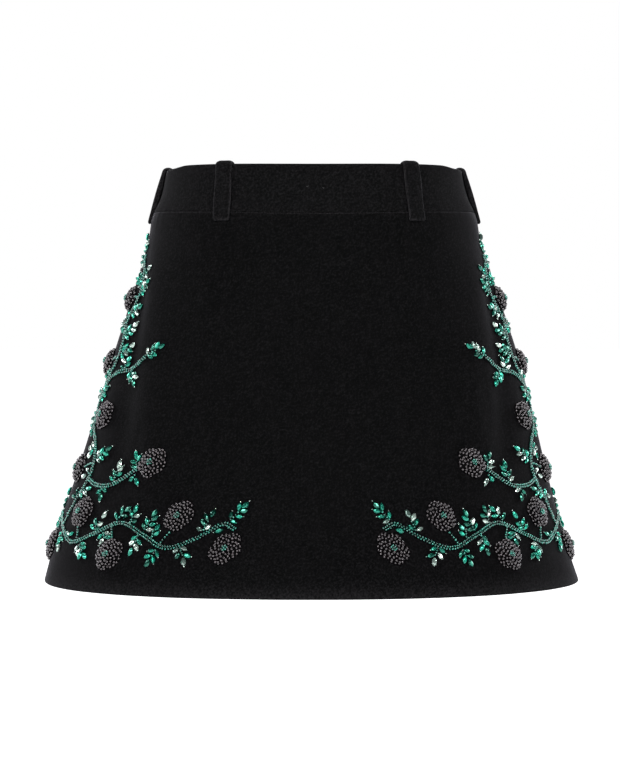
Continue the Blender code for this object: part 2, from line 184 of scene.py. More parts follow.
def clothTable(side, face):
    # places on the outer face and ways out of it, on an even grid of heights and ways
    form = skirtForm
    aboveTop, belowHem = form["gridPast"]
    heights = np.arange(form["bandTop"] + aboveTop, form["hem"] - belowHem, -form["gridStep"])
    ways = np.arange(0, form["gridReach"], form["gridStep"])
    left, right, toFront, toBack, squareLeft, squareRight = levelsAt(heights).T[:, :, None]
    wide, square = (left, squareLeft) if side < 0 else (right, squareRight)
    deep, towards = (toFront, -1) if face == "front" else (toBack, 1)
    turn = np.linspace(0, math.pi / 2, form["arcSteps"])[None, :]
    x = side * wide * np.cos(turn) ** (2 / square)
    y = towards * deep * np.sin(turn) ** (2 / square)
    x[:, -1] = 0
    steps = np.hypot(np.diff(x, axis=1, prepend=x[:, :1]), np.diff(y, axis=1, prepend=y[:, :1]))
    along = np.cumsum(steps, axis=1)
    points = np.empty((len(heights), len(ways), 3))
    for row, height in enumerate(heights):
        reach = along[row, -1]
        flat = points[row, :, :2]
        flat[:, 0] = np.interp(ways, along[row], x[row]) - side * np.clip(ways - reach, 0, None)
        flat[:, 1] = np.interp(ways, along[row], y[row])
        points[row, :, 2] = height
        tangent = np.gradient(flat, axis=0)
        tangent[0] = (0, towards)
        tangent = unit(tangent)
        flatOut = np.stack([tangent[:, 1], -tangent[:, 0]], axis=1) * side * towards
        push = standOut(side, face, np.minimum(ways, 2 * reach - ways), np.full(len(ways), height), reach)
        flat += flatOut * push[:, None]
    alongWay = np.gradient(points, axis=1)
    alongWay[:, 0] = (0, towards, 0)
    outward = unit(np.cross(np.gradient(points, axis=0), alongWay) * side * towards)
    return {"points": points, "outward": outward, "heights": heights, "reach": along[:, -1]}


clothTables = {quarter: clothTable(*quarter) for quarter in quarters}


def readTable(table, way, height):
    rows, columns = table["points"].shape[:2]
    down = np.clip((table["heights"][0] - height) / skirtForm["gridStep"], 0, rows - 1.001)
    across = np.clip(way / skirtForm["gridStep"], 0, columns - 1.001)
    row, column = down.astype(int), across.astype(int)
    v, u = (down - row)[..., None], (across - column)[..., None]
    read = []
    for grid in (table["points"], table["outward"]):
        upper = grid[row, column] * (1 - u) + grid[row, column + 1] * u
        lower = grid[row + 1, column] * (1 - u) + grid[row + 1, column + 1] * u
        read.append(upper * (1 - v) + lower * v)
    return read[0], unit(read[1])


def onCloth(side, face, way, height, out=0.0):
    # places out from the cloth, and the ways out of it; a way below 0 is past the side seam
    way, height, out = np.broadcast_arrays(np.asarray(way, float), np.asarray(height, float), out)
    places, outward = np.empty((2, *way.shape, 3))
    other = "back" if face == "front" else "front"
    for name, here in ((face, way >= 0), (other, way < 0)):
        if here.any():
            places[here], outward[here] = readTable(clothTables[side, name], np.abs(way[here]), height[here])
    return places + outward * out[..., None], outward


def reachAt(side, face, height):
    table = clothTables[side, face]
    return np.interp(-np.asarray(height), -table["heights"], table["reach"])


print("cloth form worked out")


def addObject(name, data):
    made = bpy.data.objects.new(name, data)
    bpy.context.scene.collection.objects.link(made)
    return made


def addMesh(name, points, faceGroups, materials, faceMaterials=None, smooth=True, marks=()):
    # faceGroups holds arrays of faces, one for each number of corners; marks are values kept at the points
    mesh = bpy.data.meshes.new(name)
    corners = np.concatenate([group.ravel() for group in faceGroups])
    sizes = np.concatenate([np.full(len(group), group.shape[1]) for group in faceGroups])
    mesh.vertices.add(len(points))
    mesh.loops.add(len(corners))
    mesh.polygons.add(len(sizes))
    mesh.vertices.foreach_set("co", np.asarray(points, np.float32).ravel())
    mesh.loops.foreach_set("vertex_index", corners.astype(np.int32))
    mesh.polygons.foreach_set("loop_start", (np.cumsum(sizes) - sizes).astype(np.int32))
    for material in materials:
        mesh.materials.append(material)
    if faceMaterials is not None:
        mesh.polygons.foreach_set("material_index", faceMaterials.astype(np.int32))
    mesh.polygons.foreach_set("use_smooth", np.full(len(sizes), smooth))
    for label, values in dict(marks).items():
        mesh.attributes.new(label, "FLOAT", "POINT").data.foreach_set("value", values.astype(np.float32))
    mesh.update(calc_edges=True)
    mesh.validate()
    return addObject(name, mesh)


def tubeFaces(rows, around, first=0):
    # quads between rings of points, and the numbers of the last ring's points and of the next ones round
    number = first + np.arange(rows * around).reshape(rows, around)
    nextOne = np.roll(number, -1, axis=1)
    quads = np.stack([number[:-1], nextOne[:-1], nextOne[1:], number[1:]], axis=-1)
    return quads.reshape(-1, 4), number[-1], nextOne[-1]


def addTube(name, points, material, **settings):
    # a tube round rings of points, closed at both ends, with its faces outwards
    quads, last, _ = tubeFaces(*points.shape[:2])
    caps = np.stack([np.arange(len(last))[::-1], last])
    made = addMesh(name, points.reshape(-1, 3), [quads, caps], [material], **settings)
    bm = bmesh.new()
    bm.from_mesh(made.data)
    bmesh.ops.recalc_face_normals(bm, faces=bm.faces[:])
    if bm.calc_volume(signed=True) < 0:
        bmesh.ops.reverse_faces(bm, faces=bm.faces[:])
    bm.to_mesh(made.data)
    bm.free()
    return made


def templateFrom(bm):
    # the points and triangles of a small shape, to be scattered
    bmesh.ops.triangulate(bm, faces=bm.faces[:])
    bm.verts.ensure_lookup_table()
    points = np.array([vert.co[:] for vert in bm.verts])
    # in an order of their own, since the triangulation's differs from run to run
    corners = [[vert.index for vert in face.verts] for face in bm.faces]
    starts = [face.index(min(face)) for face in corners]
    faces = sorted(face[start:] + face[:start] for face, start in zip(corners, starts))
    bm.free()
    return points, np.array(faces)


def ballTemplate(around, rings):
    bm = bmesh.new()
    bmesh.ops.create_uvsphere(bm, u_segments=around, v_segments=rings, radius=1.0)
    return templateFrom(bm)


def scatter(name, template, places, sizes, material, along=(1, 0, 0), outward=(0, 0, 1), smooth=True):
    # one joined mesh of many copies of a small shape, each turned to its own axes, with a tone of its own
    points, faces = template
    count = len(places)
    sizes, along, outward = [np.broadcast_to(values, (count, 3)) for values in (sizes, along, outward)]
    axes = np.stack([along, np.cross(outward, along), outward], axis=1)
    placed = places[:, None, :] + np.einsum("vk,nk,nkj->nvj", points, sizes, axes)
    joined = (faces[None] + np.arange(count)[:, None, None] * len(points)).reshape(-1, 3)
    tone = np.repeat(chance.random(count), len(points))
    return addMesh(name, placed.reshape(-1, 3), [joined], [material], smooth=smooth, marks={"tone": tone})


# materials
def feed(tree, node, inputs):
    # each input gets a link or a value
    for key, value in inputs.items():
        if isinstance(value, bpy.types.NodeSocket):
            tree.links.new(value, node.inputs[key])
        else:
            node.inputs[key].default_value = value
    return node


def addNode(tree, kind, inputs, **settings):
    node = tree.nodes.new("ShaderNode" + kind)
    for key, value in settings.items():
        setattr(node, key, value)
    return feed(tree, node, inputs).outputs


def placeIn(tree, name="Object"):
    return addNode(tree, "TexCoord", {})[name]


def noiseOf(tree, where, scale, detail, roughness=0.5, distortion=0.0):
    return addNode(tree, "TexNoise", {
        "Vector": where, "Scale": scale, "Detail": detail, "Roughness": roughness, "Distortion": distortion,
    })["Fac"]


def mathOf(tree, operation, *values, clamp=False):
    return addNode(tree, "Math", dict(enumerate(values)), operation=operation, use_clamp=clamp)[0]


def mapRange(tree, value, low=0.0, high=1.0, start=0.0, end=1.0):
    limits = {"From Min": start, "From Max": end, "To Min": low, "To Max": high}
    return addNode(tree, "MapRange", {"Value": value, **limits})[0]


def rampBetween(tree, factor, low, high, start=0.0, end=1.0):
    # low where factor is under start, high where it is over end
    inputs = {"Factor": mapRange(tree, factor, start=start, end=end)}
    for label, value in (("A", low), ("B", high)):
        inputs[label] = value if isinstance(value, bpy.types.NodeSocket) else (*value, 1.0)
    return addNode(tree, "Mix", inputs, data_type="RGBA")["Result"]


def newGroup(name, inputs, outputs):
    # inputs has their first values, and a tuple is a colour
    group = bpy.data.node_groups.new(name, "ShaderNodeTree")
    for label in (*inputs, *outputs):
        colour = label == "Color" or isinstance(inputs.get(label), tuple)
        socket = group.interface.new_socket(
            name=label, in_out="INPUT" if label in inputs else "OUTPUT",
            socket_type="NodeSocketColor" if colour else "NodeSocketFloat",
        )
        if label in inputs:
            socket.default_value = inputs[label]
    return group, group.nodes.new("NodeGroupInput").outputs, group.nodes.new("NodeGroupOutput")


def useGroup(tree, group, **values):
    return addNode(tree, "Group", values, node_tree=group)


def makeNap():
    # long soft streaks, fine specks and fuzz, for pile and for brushed or woven cloth
    first = {"Across": 30.0, "Down": 9.0, "Grain": 260.0, "Fuzz": 900.0}
    group, given, result = newGroup("nap", first, ("Streak", "Speck", "Height"))
    where = placeIn(group)
    stretch = {"X": given["Across"], "Y": given["Across"], "Z": given["Down"]}
    stretch = addNode(group, "CombineXYZ", stretch)[0]
    drawn = addNode(group, "VectorMath", {0: where, 1: stretch}, operation="MULTIPLY")[0]
    speck = noiseOf(group, where, given["Grain"], 3.0, 0.7)
    fuzz = noiseOf(group, where, given["Fuzz"], 2.0, 0.8)
    feed(group, result, {
        "Streak": noiseOf(group, drawn, 1.0, 5.0, 0.62, 0.5),
        "Speck": speck, "Height": mathOf(group, "MULTIPLY", speck, fuzz),
    })
    return group


def makeWeave():
    # crossing threads, as bands across and down, with the slack of real yarn
    group, given, result = newGroup("weave", {"Threads": 400.0, "Slack": 0.6}, ["Height"])
    yarn = {"Vector": placeIn(group), "Scale": given["Threads"], "Distortion": given["Slack"], "Detail": 1.0}
    bands = [addNode(group, "TexWave", yarn, bands_direction=way)["Fac"] for way in ("Z", "DIAGONAL")]
    feed(group, result, {"Height": mathOf(group, "MULTIPLY", *bands)})
    return group


def makeTone():
    # a colour of its own for each bead or crystal, with a little cloudiness inside it
    first = {"Low": (0, 0, 0, 1), "High": (1, 1, 1, 1), "Cloud": 0.3}
    group, given, result = newGroup("tone", first, ("Color", "Tone"))
    own = addNode(group, "Attribute", {}, attribute_name="tone")["Fac"]
    away = mathOf(group, "SUBTRACT", noiseOf(group, placeIn(group), 420.0, 2.0), 0.5)
    tone = mathOf(group, "MULTIPLY_ADD", away, given["Cloud"], own, clamp=True)
    between = {"Factor": tone, "A": given["Low"], "B": given["High"]}
    feed(group, result, {"Color": addNode(group, "Mix", between, data_type="RGBA")["Result"], "Tone": tone})
    return group


napGroup = makeNap()
weaveGroup = makeWeave()
toneGroup = makeTone()


def startMaterial(name, values):
    # values names sockets of the Principled shader
    made = bpy.data.materials.new(name)
    made.use_nodes = True
    tree = made.node_tree
    return made, tree, feed(tree, tree.nodes["Principled BSDF"], values)


def finishCloth(tree, shader, colour, height, strength, distance):
    # colour and bump
    bump = {"Height": height, "Strength": strength, "Distance": distance}
    feed(tree, shader, {"Base Color": colour, "Normal": addNode(tree, "Bump", bump)[0]})


velvetLook = {
    "sheen": 0.075,
    "pressedSheen": 0.012,  # on the stiffened band, where the pile lies flat
    "sheenRoughness": 0.28,
    "sheenTint": (0.82, 0.80, 0.90, 1.0),
    "deep": (0.0004, 0.0004, 0.0005),
    "lit": (0.0011, 0.0010, 0.0012),
    "rubbed": (0.0050, 0.0048, 0.0053),
    "edgeLit": (0.0125, 0.0120, 0.0130),  # the pale colour of the lift, and of the painted sheen that stands for light caught by the pile over an edge
    "bump": 0.30,
    "bumpDepth": 0.0006,
}


def makeVelvet(name, sheen):
    look = velvetLook
    made, tree, shader = startMaterial(name, {
        "Roughness": 0.95, "Specular IOR Level": 0.04, "Sheen Weight": sheen,
        "Sheen Roughness": look["sheenRoughness"], "Sheen Tint": look["sheenTint"],
    })
    nap = useGroup(tree, napGroup, Across=120.0, Down=16.0, Grain=620.0, Fuzz=1500.0)
    stroked = rampBetween(tree, nap["Streak"], look["deep"], look["lit"], 0.30, 0.70)
    specked = rampBetween(tree, nap["Speck"], stroked, look["rubbed"], 0.47, 0.68)
    # the edge mark lightens the colour: a lift, and painted sheen standing for light caught at edges and
    # seams
    edge = addNode(tree, "Attribute", {}, attribute_name="edge")["Fac"]
    liftAndPaintedSheen = mathOf(tree, "MULTIPLY", edge, mapRange(tree, nap["Speck"], 0.1, 1.0, 0.38, 0.60))
    colour = rampBetween(tree, liftAndPaintedSheen, specked, look["edgeLit"])
    finishCloth(tree, shader, colour, nap["Height"], look["bump"], look["bumpDepth"])
    return made


def makeVelvetBack():
    made, tree, shader = startMaterial("velvetBack", {"Roughness": 0.85, "Specular IOR Level": 0.25})
    nap = useGroup(tree, napGroup, Across=60.0, Down=60.0, Fuzz=700.0)
    weave = useGroup(tree, weaveGroup, Threads=420.0, Slack=0.7)
    colour = rampBetween(tree, nap["Streak"], (0.010, 0.010, 0.011), (0.021, 0.020, 0.022), 0.3, 0.7)
    finishCloth(tree, shader, colour, weave["Height"], 0.5, 0.0003)
    return made


def makeGlassy(name, low, high, values, cloud=0.3, roughness=(0.1, 0.2)):
    # beads and crystals: each its own tone, and its own gloss
    made, tree, shader = startMaterial(name, values)
    tone = useGroup(tree, toneGroup, Low=(*low, 1.0), High=(*high, 1.0), Cloud=cloud)
    feed(tree, shader, {"Base Color": tone["Color"], "Roughness": mapRange(tree, tone["Tone"], *roughness)})
    return made


def makeThread(name, low, high, sheen=0.2, gloss=0.5):
    values = {"Roughness": 0.7, "Sheen Weight": sheen, "Specular IOR Level": gloss}
    made, tree, shader = startMaterial(name, values)
    nap = useGroup(tree, napGroup, Across=900.0, Down=900.0, Fuzz=2500.0)
    colour = rampBetween(tree, nap["Streak"], low, high, 0.3, 0.7)
    finishCloth(tree, shader, colour, nap["Height"], 0.4, 0.0002)
    return made


def makeTape():
    made, tree, shader = startMaterial("zipTape", {"Roughness": 0.8, "Specular IOR Level": 0.3})
    weave = useGroup(tree, weaveGroup, Threads=700.0, Slack=0.2)
    colour = rampBetween(tree, weave["Height"], (0.008, 0.008, 0.009), (0.024, 0.024, 0.026))
    finishCloth(tree, shader, colour, weave["Height"], 0.6, 0.0003)
    return made


def makeZipMetal():
    made, tree, shader = startMaterial("zipMetal", {"Metallic": 0.9})
    nap = useGroup(tree, napGroup, Across=500.0, Down=90.0, Fuzz=2600.0)
    colour = rampBetween(tree, nap["Speck"], (0.030, 0.030, 0.033), (0.16, 0.155, 0.15), 0.55, 0.85)
    feed(tree, shader, {"Base Color": colour, "Roughness": mapRange(tree, nap["Streak"], 0.22, 0.5)})
    return made


velvet = makeVelvet("blackVelvet", velvetLook["sheen"])
bandVelvet = makeVelvet("bandVelvet", velvetLook["pressedSheen"])
velvetBack = makeVelvetBack()
darkBead = makeGlassy("darkBead", (0.0006, 0.0005, 0.0006), (0.0030, 0.0024, 0.0028),
                      {"IOR": 1.68, "Specular Tint": (1.0, 0.92, 0.96, 1.0)}, roughness=(0.12, 0.23))
seedBead = makeGlassy("seedBead", (0.001, 0.026, 0.019), (0.006, 0.150, 0.112),
                      {"IOR": 1.6, "Coat Weight": 0.75, "Coat Roughness": 0.07, "Metallic": 0.6},
                      cloud=0.5, roughness=(0.14, 0.26))
emerald = makeGlassy("emeraldCrystal", (0.0, 0.055, 0.037), (0.002, 0.225, 0.153),
                     {"IOR": 1.7, "Coat Weight": 0.35, "Coat Roughness": 0.10, "Metallic": 0.85},
                     cloud=0.8, roughness=(0.15, 0.28))
paleStone = makeGlassy("paleCrystal", (0.07, 0.13, 0.11), (0.40, 0.50, 0.45),
                       {"IOR": 1.75, "Coat Weight": 1.0, "Coat Roughness": 0.02, "Metallic": 0.7},
                       cloud=0.8, roughness=(0.04, 0.12))
coreFelt = makeThread("coreFelt", (0.0003, 0.0003, 0.0003), (0.0020, 0.0018, 0.0020), sheen=0.0, gloss=0.03)
blackThread = makeThread("blackThread", (0.006, 0.006, 0.007), (0.018, 0.018, 0.020))
greyThread = makeThread("greyThread", (0.006, 0.006, 0.007), (0.015, 0.015, 0.016))
tapeCloth = makeTape()
zipMetal = makeZipMetal()
print("materials made:", len(bpy.data.materials))

# panels and waistband
clothCut = {
    "lap": 0.0005,  # how far two pieces run into each other in a seam
    "panelThick": 0.0022,
    "panelPly": 0.0014,  # where the velvet is single
    "bandThick": 0.0032,
    "sideRoll": 0.0012,  # how wide the cloth rolls into a seam
    "waistRoll": 0.0019,
    "hemRoll": 0.0016,
    "topRoll": 0.0019,
    "hemTurn": 0.032,  # turned up inside
    "allowance": 0.013,  # pressed open inside each seam
    "bandPuff": 0.0004,
    # how much the pile's colour is lightened: everywhere, then (how much, how far in) at the top, foot and
    # side seam; at those edges the lightening is painted sheen, standing for light caught where the cloth
    # rolls and turns
    "panelLiftAndPaintedSheen": (0.0, (0.80, 0.0009), (0.55, 0.0085), (0.12, 0.0140)),
    "bandLiftAndPaintedSheen": (0.15, (0.25, 0.0030), (0.35, 0.0008), (0.05, 0.0012)),
    "liftFrom": 0.05,  # how far in from a side seam the lift everywhere takes to come in full
    "columns": 84,  # to a quarter
    "panelRows": 104,
    "bandRows": 18,
    "turnLine": 0.0008,  # half the width of the step where a turned-up hem ends
    "hemStep": (0.0006, 0.0012),  # where the hem's thickness starts, and over how far
    "allowanceStep": (0.002, 0.004),
    "insideLit": 0.5,  # of the outer face's lift and painted sheen
}
edgeSteps = (0.0, 0.10, 0.30, 0.60, 1.0)  # of a roll's width


def clothColumns(halves, roll):
    # (side, share of the way to the centre, metres past that place), with close columns at the cut edges
    def oneSide(side, endsAtCentre):
        inner = np.linspace(0, 1, clothCut["columns"])[1 : -1 if endsAtCentre else None]
        start = [(side, 0.0, step * roll) for step in edgeSteps]
        end = [(side, 1.0, -step * roll) for step in reversed(edgeSteps)] if endsAtCentre else []
        return start + [(side, share, 0.0) for share in inner] + end

    if halves == "both":
        return oneSide(-1, False) + oneSide(1, False)[-2::-1]
    return oneSide(halves, True)


def clothRows(count, topRoll, footRoll, lines=()):
    # (share of the drop, metres below that place), with close rows at the edges and on the lines given
    rows = [(0.0, step * topRoll) for step in edgeSteps]
    rows += [(share, 0.0) for share in np.linspace(0, 1, count)[1:-1]]
    rows += [(1.0, -step * footRoll) for step in reversed(edgeSteps)] + [(1.0, -line) for line in lines]
    return rows


def edgeRound(distance, roll):
    # 0 on an edge, rising to 1 as a quarter circle does
    return np.sqrt(np.clip(1 - (1 - np.clip(distance / roll, 0, 1)) ** 2, 0, 1))


def clothShell(name, face, halves, topAt, footAt, rows, thickness, rolls, puff, liftAndPaintedSheen, materials):
    # a closed thin shell: outer face, inner face and round edges; rolls are those at the top, foot and
    # sides, and liftAndPaintedSheen says how much the pile's colour is lightened: everywhere, then (how much,
    # how far in) at the top, foot and side seam, where it is painted sheen standing for light caught at the
    # edges
    cut, whole = clothCut, halves == "both"
    side, share, past = np.array(clothColumns(halves, rolls[2])).T
    top, foot = topAt(share), footAt(share)
    drop, below = np.array(rows).T[:, :, None]
    height = -np.sort(-(top + (foot - top) * drop - below), axis=0)
    reach = np.where(side < 0, reachAt(-1, face, height), reachAt(1, face, height))
    first = -cut["lap"] / 2
    last = reach + (0 if whole else cut["lap"] / 2)
    way = first + (last - first) * share + past
    # in along the left half and then out along the right, or out from the side seam
    order = np.argsort(np.where(side < 0, way[0], 1 - way[0]) if whole else way[0])
    side, top, foot = side[order], top[order], foot[order]
    height, way, last = height[:, order], way[:, order], last[:, order]
    gaps = (top - height, height - foot, way - first)
    rounding = edgeRound(gaps[0], rolls[0]) * edgeRound(gaps[1], rolls[1]) * edgeRound(gaps[2], rolls[2])
    if not whole:
        rounding = rounding * edgeRound(last - way, rolls[2])
    rounding[[0, -1]] = 0
    rounding[:, [0, -1]] = 0
    depth = thickness(way, height)
    swell = puff * np.sin(math.pi * np.clip(gaps[0] / (top - foot), 0, 1)) ** 0.7
    lifts = (depth * (rounding - 1) / 2 + swell, -depth * (rounding + 1) / 2)
    points = np.empty((2, *height.shape, 3))
    for one in set(side):
        here = side == one
        for layer, lift in zip(points, lifts):
            layer[:, here] = onCloth(int(one), face, way[:, here], height[:, here], lift[:, here])[0]
    # both faces share the points of the shell's edges
    number = np.arange(height.size).reshape(height.shape)
    innerNumber = number + height.size
    innerNumber[[0, -1]] = number[[0, -1]]
    innerNumber[:, [0, -1]] = number[:, [0, -1]]

    def quads(grid, flip):
        corners = [grid[:-1, :-1], grid[1:, :-1], grid[1:, 1:], grid[:-1, 1:]]
        return np.stack(corners[::-1] if flip else corners, axis=-1).reshape(-1, 4)

    flip = (face == "back") != (halves == 1)
    faces = np.concatenate([quads(number, flip), quads(innerNumber, not flip)])
    # the edge mark: the lift everywhere, and painted sheen at the top, foot and side seam, kept at the points
    # for the velvet's colour; the inner face gets a share
    edge = liftAndPaintedSheen[0] * smoothStep(way / cut["liftFrom"])
    for gap, (much, reachIn) in zip(gaps, liftAndPaintedSheen[1:]):
        edge = np.maximum(edge, much * np.exp(-((gap / reachIn) ** 2)))
    edge = np.concatenate([edge.ravel(), edge.ravel() * cut["insideLit"]])
    used = np.unique(faces)
    renumber = np.zeros(len(edge), int)
    renumber[used] = np.arange(len(used))
    slots = np.repeat([0, len(materials) - 1], len(faces) // 2)
    points = points.reshape(-1, 3)[used]
    return addMesh(name, points, [renumber[faces]], materials, slots, marks={"edge": edge[used]})


def panelThickness(way, height):
    # single velvet, thicker over the turned-up hem and the pressed seams
    cut = clothCut
    (above, hemFade), (past, seamFade) = cut["hemStep"], cut["allowanceStep"]
    lined = np.maximum(smoothStep((skirtForm["hem"] + cut["hemTurn"] + above - height) / hemFade),
                       smoothStep((cut["allowance"] + past - way) / seamFade))
    return cut["panelPly"] + (cut["panelThick"] - cut["panelPly"]) * lined


def makeCloth():
    cut = clothCut
    waist, half = cut["waistRoll"], cut["lap"] / 2
    pieces = {}
    turnLines = [cut["hemTurn"] + step for step in (-cut["turnLine"], cut["turnLine"])]
    shells = (("Front", "front", "both"), ("BackLeft", "back", -1), ("BackRight", "back", 1))
    for ending, face, halves in shells:
        pieces["panel" + ending] = panel = clothShell(
            "panel" + ending, face, halves,
            lambda share: seamHeight(share) + half,
            lambda share: np.full(share.shape, skirtForm["hem"]),
            clothRows(cut["panelRows"], waist, cut["hemRoll"], turnLines),
            panelThickness, (waist, cut["hemRoll"], cut["sideRoll"]), 0.0, cut["panelLiftAndPaintedSheen"],
            [velvet, velvetBack],
        )
        pieces["band" + ending] = band = clothShell(
            "band" + ending, face, halves,
            bandTopAt,
            lambda share: seamHeight(share) - half,
            clothRows(cut["bandRows"], cut["topRoll"], waist),
            lambda way, height: np.full(way.shape, cut["bandThick"]),
            (cut["topRoll"], waist, cut["sideRoll"]), cut["bandPuff"], cut["bandLiftAndPaintedSheen"],
            [bandVelvet],
        )
        node = {"Front": "front", "BackLeft": "back_left", "BackRight": "back_right"}[ending]
        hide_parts("panel_" + node)
        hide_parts("waistband_" + node)
    return pieces


clothPieces = makeCloth()
print("cloth made:", ", ".join(clothPieces))

# belt loops
loopCut = {
    "width": 0.0150,
    "thick": 0.0030,
    "lift": 0.0004,  # clear of the cloth
    "belowSeam": 0.0060,
    "inside": 0.0090,
    "bendDrop": 0.0015,  # where it starts to bend, below the band's top
    "bow": 0.0006,
    "footRise": 0.0040,
    "hollow": 0.14,  # how much thinner the middle of the strap is
    "fullest": 0.0062,  # how thick the folded strap swells where it stands off the band
    "swellFrom": (13, 6),  # the step of its path where that starts, and how many steps it takes
    "endRound": 0.0018,
    "endNarrow": 0.8,  # of that, how much narrower each half of an end is
    "endThick": 0.15,  # of its thickness, left at its ends
    "flatness": (0.35, 0.75),  # how square its section is, across and through
    "sides": 24,
    "sway": (0.00035, 150, 60),  # how far its long edges waver, and how fast along one and from loop to loop
    "crown": 0.34,  # how much narrower it is at its very top
    "sideSlack": 0.0015,  # how much further out the two at the side seams are folded
    "liftAndPaintedSheen": (0.19, 1.0),  # how much the pile's colour is lightened: everywhere, and, as painted sheen standing for light caught there, along the edges
    "litEdge": (0.84, 0.12, 0.0016),  # where across that starts, its fading, and how far up from the foot
    "curveStep": 0.006,  # where the cloth's curve is measured, to each side
    "ease": (1, 2, 3, 2, 1),  # shares of neighbours, to round the path off
    "footSteps": (0.98, 0.988, 0.994, 0.998, 1.0),  # close steps at its foot, as shares of the way down
    # node's ending, face, x at the band (0 stands on a side seam), side, lean in degrees
    "places": [
        ("front_left", "front", -0.0779, -1, -1.2),
        ("front_right", "front", 0.0849, 1, -1.7),
        ("side_left", "side", 0.0, -1, 0.0),
        ("side_right", "side", 0.0, 1, 0.0),
        ("back_left", "back", -0.0780, -1, 0.0),
        ("back_right", "back", 0.0780, 1, 0.0),
    ],
}


def loopLine(face, side, x, heights, shift=0.0):
    # places on the cloth's outer face down the middle of a loop, or beside it by shift, and the ways out
    heights = np.atleast_1d(heights)
    if face == "side":
        return onCloth(side, "front", np.full(heights.shape, shift), heights)
    ways = np.arange(0, skirtForm["gridReach"] - 0.02, 0.001)
    found = []
    for height in heights:
        within = ways[ways < reachAt(side, face, height)]
        ring, _ = onCloth(side, face, within, height)
        found.append(np.interp(-abs(x), -np.abs(ring[:, 0]), within))
    return onCloth(side, face, np.array(found) + shift, heights)


def loopPath(outAt, top, slack):
    # (out, height) down the middle of the strap: from inside the band, over its top edge, to the foot
    cut = loopCut
    lift = cut["lift"] + cut["thick"] / 2
    bend = top - cut["bendDrop"]
    outer = outAt(top) + lift + slack
    inner = outAt(top) - clothCut["bandThick"] - lift
    footZ = skirtForm["seam"] - cut["belowSeam"]
    footOut = max(outAt(footZ), outAt(footZ + cut["footRise"])) + lift
    path = [(inner, height) for height in np.linspace(top - cut["inside"], bend, 8)[:-1]]
    for turn in np.linspace(math.pi, 0, 17):
        across = (inner + outer) / 2 + (outer - inner) / 2 * math.cos(turn)
        path.append((across, bend + (top + lift - bend) * math.sin(turn)))
    for drop in [*np.linspace(0, 0.97, 31)[1:], *cut["footSteps"]]:
        height = bend + (footZ - bend) * drop
        straight = outer + (footOut - outer) * drop
        path.append((max(straight, outAt(height) + lift) + cut["bow"] * math.sin(math.pi * drop), height))
    return np.array(path)


def makeLoop(ending, face, x, side, lean):
    cut = loopCut
    heights = np.linspace(skirtForm["bandTop"], skirtForm["seam"] - cut["belowSeam"] - 0.001, 60)
    line, _ = loopLine(face, side, x, heights)
    base, outward = [found[0] for found in loopLine(face, side, x, 0.0)]
    outward = np.array([side, 0.0, 0.0]) if face == "side" else unit(outward * (1, 1, 0))
    across = np.cross((0, 0, 1), outward)
    outs = (line - base) @ outward
    top, slack = (float(bandTopAt(0.0)), cut["sideSlack"]) if face == "side" else (skirtForm["bandTop"], 0)
    path = loopPath(lambda height: float(np.interp(-height, -heights, outs)), top, slack)
    kernel = np.array(cut["ease"]) / sum(cut["ease"])
    for axis in (0, 1):
        eased = np.convolve(np.pad(path[:, axis], 2, mode="edge"), kernel, mode="valid")
        path[2:-2, axis] = eased[2:-2]
    step = cut["curveStep"]
    before, after = [loopLine(face, side, x, 0.0, shift)[0][0] for shift in (-step, step)]
    curve = ((before + after) / 2 - base) @ outward / step**2
    ahead = unit(np.gradient(path, axis=0))
    normal = np.stack([-ahead[:, 1], ahead[:, 0]], axis=1)
    fromEnd = [np.linalg.norm(path - end, axis=1)[:, None] for end in (path[0], path[-1])]
    swell = edgeRound(np.minimum(*fromEnd), cut["endRound"])
    # the section is a soft square, and its inner half fills the room that the strap leaves over the band
    turn = np.linspace(0, 2 * math.pi, cut["sides"], endpoint=False)[None, :]
    flat, thick = [np.sign(wave) * np.abs(wave) ** power
                   for wave, power in zip((np.cos(turn), np.sin(turn)), cut["flatness"])]
    thick = thick * (1 - cut["hollow"] * (1 - flat**2))
    start, count = cut["swellFrom"]
    room = path[:, 0] - np.interp(-path[:, 1], -heights, outs) - cut["lift"]
    room = room * smoothStep((np.arange(len(path)) - start) / count)
    under = np.clip(room, cut["thick"] / 2, cut["fullest"] - cut["thick"] / 2)
    depth = np.where(thick < 0, under[:, None], cut["thick"] / 2)
    lift = thick * depth * np.maximum(swell, cut["endThick"])
    laid = path[:, None, :] + normal[:, None, :] * lift[..., None]
    sway, quick, unlike = cut["sway"]
    sideways = flat * (cut["width"] / 2 - cut["endRound"] * cut["endNarrow"] * (1 - swell))
    sideways = sideways + sway * np.sin(path[:, 1:2] * quick + unlike * x + flat)
    above = np.clip((laid[..., 1] - top) / (cut["lift"] + cut["thick"]), 0, 1)
    sideways = sideways * (1 - cut["crown"] * above**2)
    out = laid[..., 0] + curve * sideways**2
    sideways = sideways + path[:, 1:2] * math.sin(math.radians(lean))
    points = base + outward * out[..., None] + across * sideways[..., None]
    points[..., 2] += laid[..., 1]
    # the edge mark: the lift everywhere, and painted sheen along the long edges and at the foot
    low, high = cut["liftAndPaintedSheen"]
    start, fade, reachUp = cut["litEdge"]
    edge = np.maximum(smoothStep((np.abs(flat) - start) / fade), np.exp(-((fromEnd[1] / reachUp) ** 2)))
    edge = low + (high - low) * edge
    made = addTube("beltLoop_" + ending, points, velvet, marks={"edge": edge.ravel()})
    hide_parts("belt_loop_" + ending)
    return made


loopPieces = {place[0]: makeLoop(*place) for place in loopCut["places"]}
print("belt loops made:", len(loopPieces))

